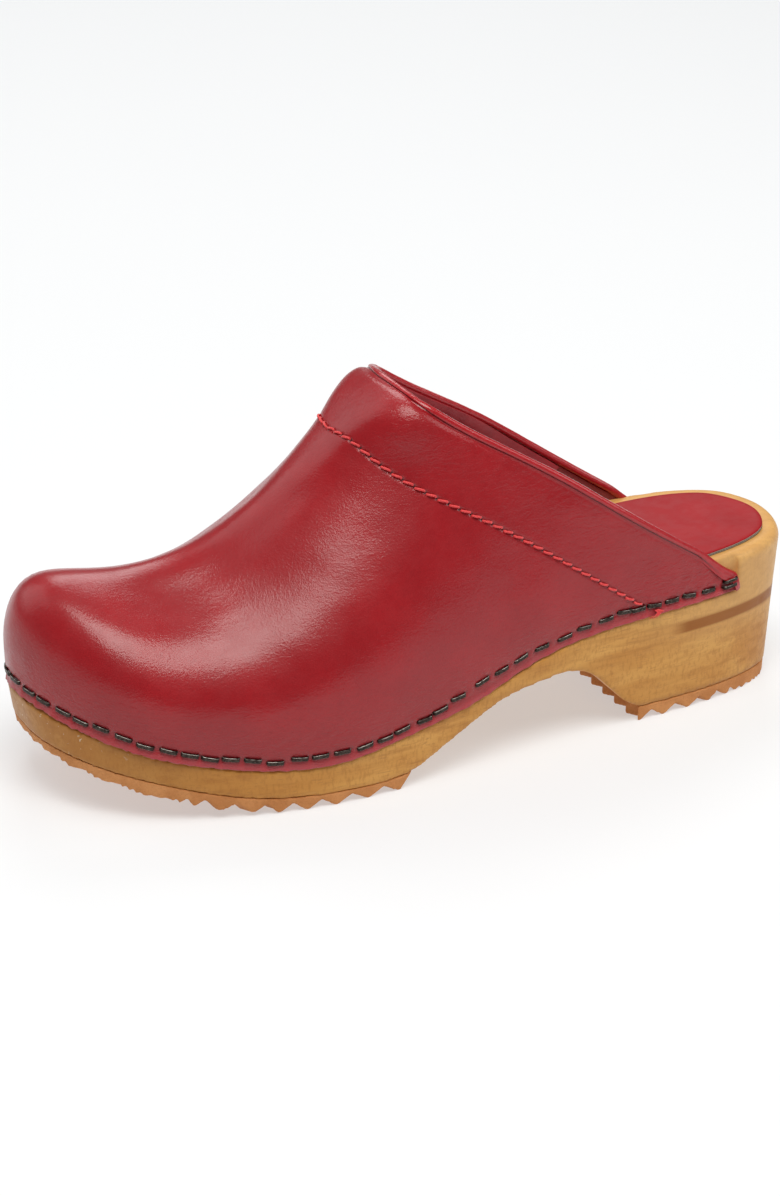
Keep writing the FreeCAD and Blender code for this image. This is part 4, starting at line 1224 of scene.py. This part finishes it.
# ---- studio
TARGET = Vector(to_row((0.0, 0.0, 43.0)))
AZIMUTH, ELEVATION = math.radians(25), math.radians(24)
DISTANCE = 1.15
LENS, SENSOR = 108.55, 36.0
WORLD = 0.12
FLOOR_RADII = (0.3, 0.8, 1.8, 4.0, 9.0)

# Lights: name, place, aim, size, power, colour.
LIGHTS = [
    ("main", (-0.13, -0.51, 1.46), (0, 0, 0.06), (1.0, 0.97), 20.5, (1.0, 0.975, 0.94)),
    ("overhead", (-0.97, 0.97, 1.06), (0, 0, 0.06), (1.4, 1.4), 7, (1, 1, 1)),
    ("behind", (0.44, 1.1, 1.18), (0, 0, 0.06), (0.75, 0.85), 7, (1, 1, 1)),
    ("right", (1.3, -0.5, 0.9), (0, 0, 0.05), (0.7, 0.9), 5, (1, 1, 1))]


def build_floor(sides=48):
    rings = [circle(radius / MM, sides) for radius in FLOOR_RADII]
    flat = np.vstack([[(0, 0)]] + rings)
    faces = [[0, 1 + k, 1 + (k + 1) % sides] for k in range(sides)]
    faces += quads(len(rings), sides, 1, wrap=True)
    verts = np.column_stack([flat, np.zeros(len(flat))])
    floor = make_object("studio_floor", verts, faces, "studio_floor")


def build_lights():
    world = bpy.data.worlds.new("studio")
    bpy.context.scene.world = world
    world.use_nodes = True
    background = world.node_tree.nodes["Background"]
    background.inputs["Color"].default_value = (1.0, 1.0, 1.0, 1.0)
    background.inputs["Strength"].default_value = WORLD
    for name, place, aim, size, power, colour in LIGHTS:
        light = bpy.data.lights.new(name, "AREA")
        light.shape = "RECTANGLE"
        light.size, light.size_y = size
        light.energy = power
        light.color = colour
        add_object(name, light, place, (Vector(aim) - Vector(place)).to_track_quat("-Z", "Y"))
    bpy.context.scene.view_settings.view_transform = "Standard"


def build_camera():
    cam = bpy.data.cameras.new("photo_camera")
    cam.lens = LENS
    cam.sensor_width = cam.sensor_height = SENSOR
    cam.sensor_fit = "AUTO"
    level = math.cos(ELEVATION)
    way = Vector((-math.sin(AZIMUTH) * level, -math.cos(AZIMUTH) * level, math.sin(ELEVATION)))
    obj = add_object("photo_camera", cam, TARGET + way * DISTANCE, way.to_track_quat("Z", "Y"))
    bpy.context.scene.camera = obj


build_floor()
build_lights()
build_camera()
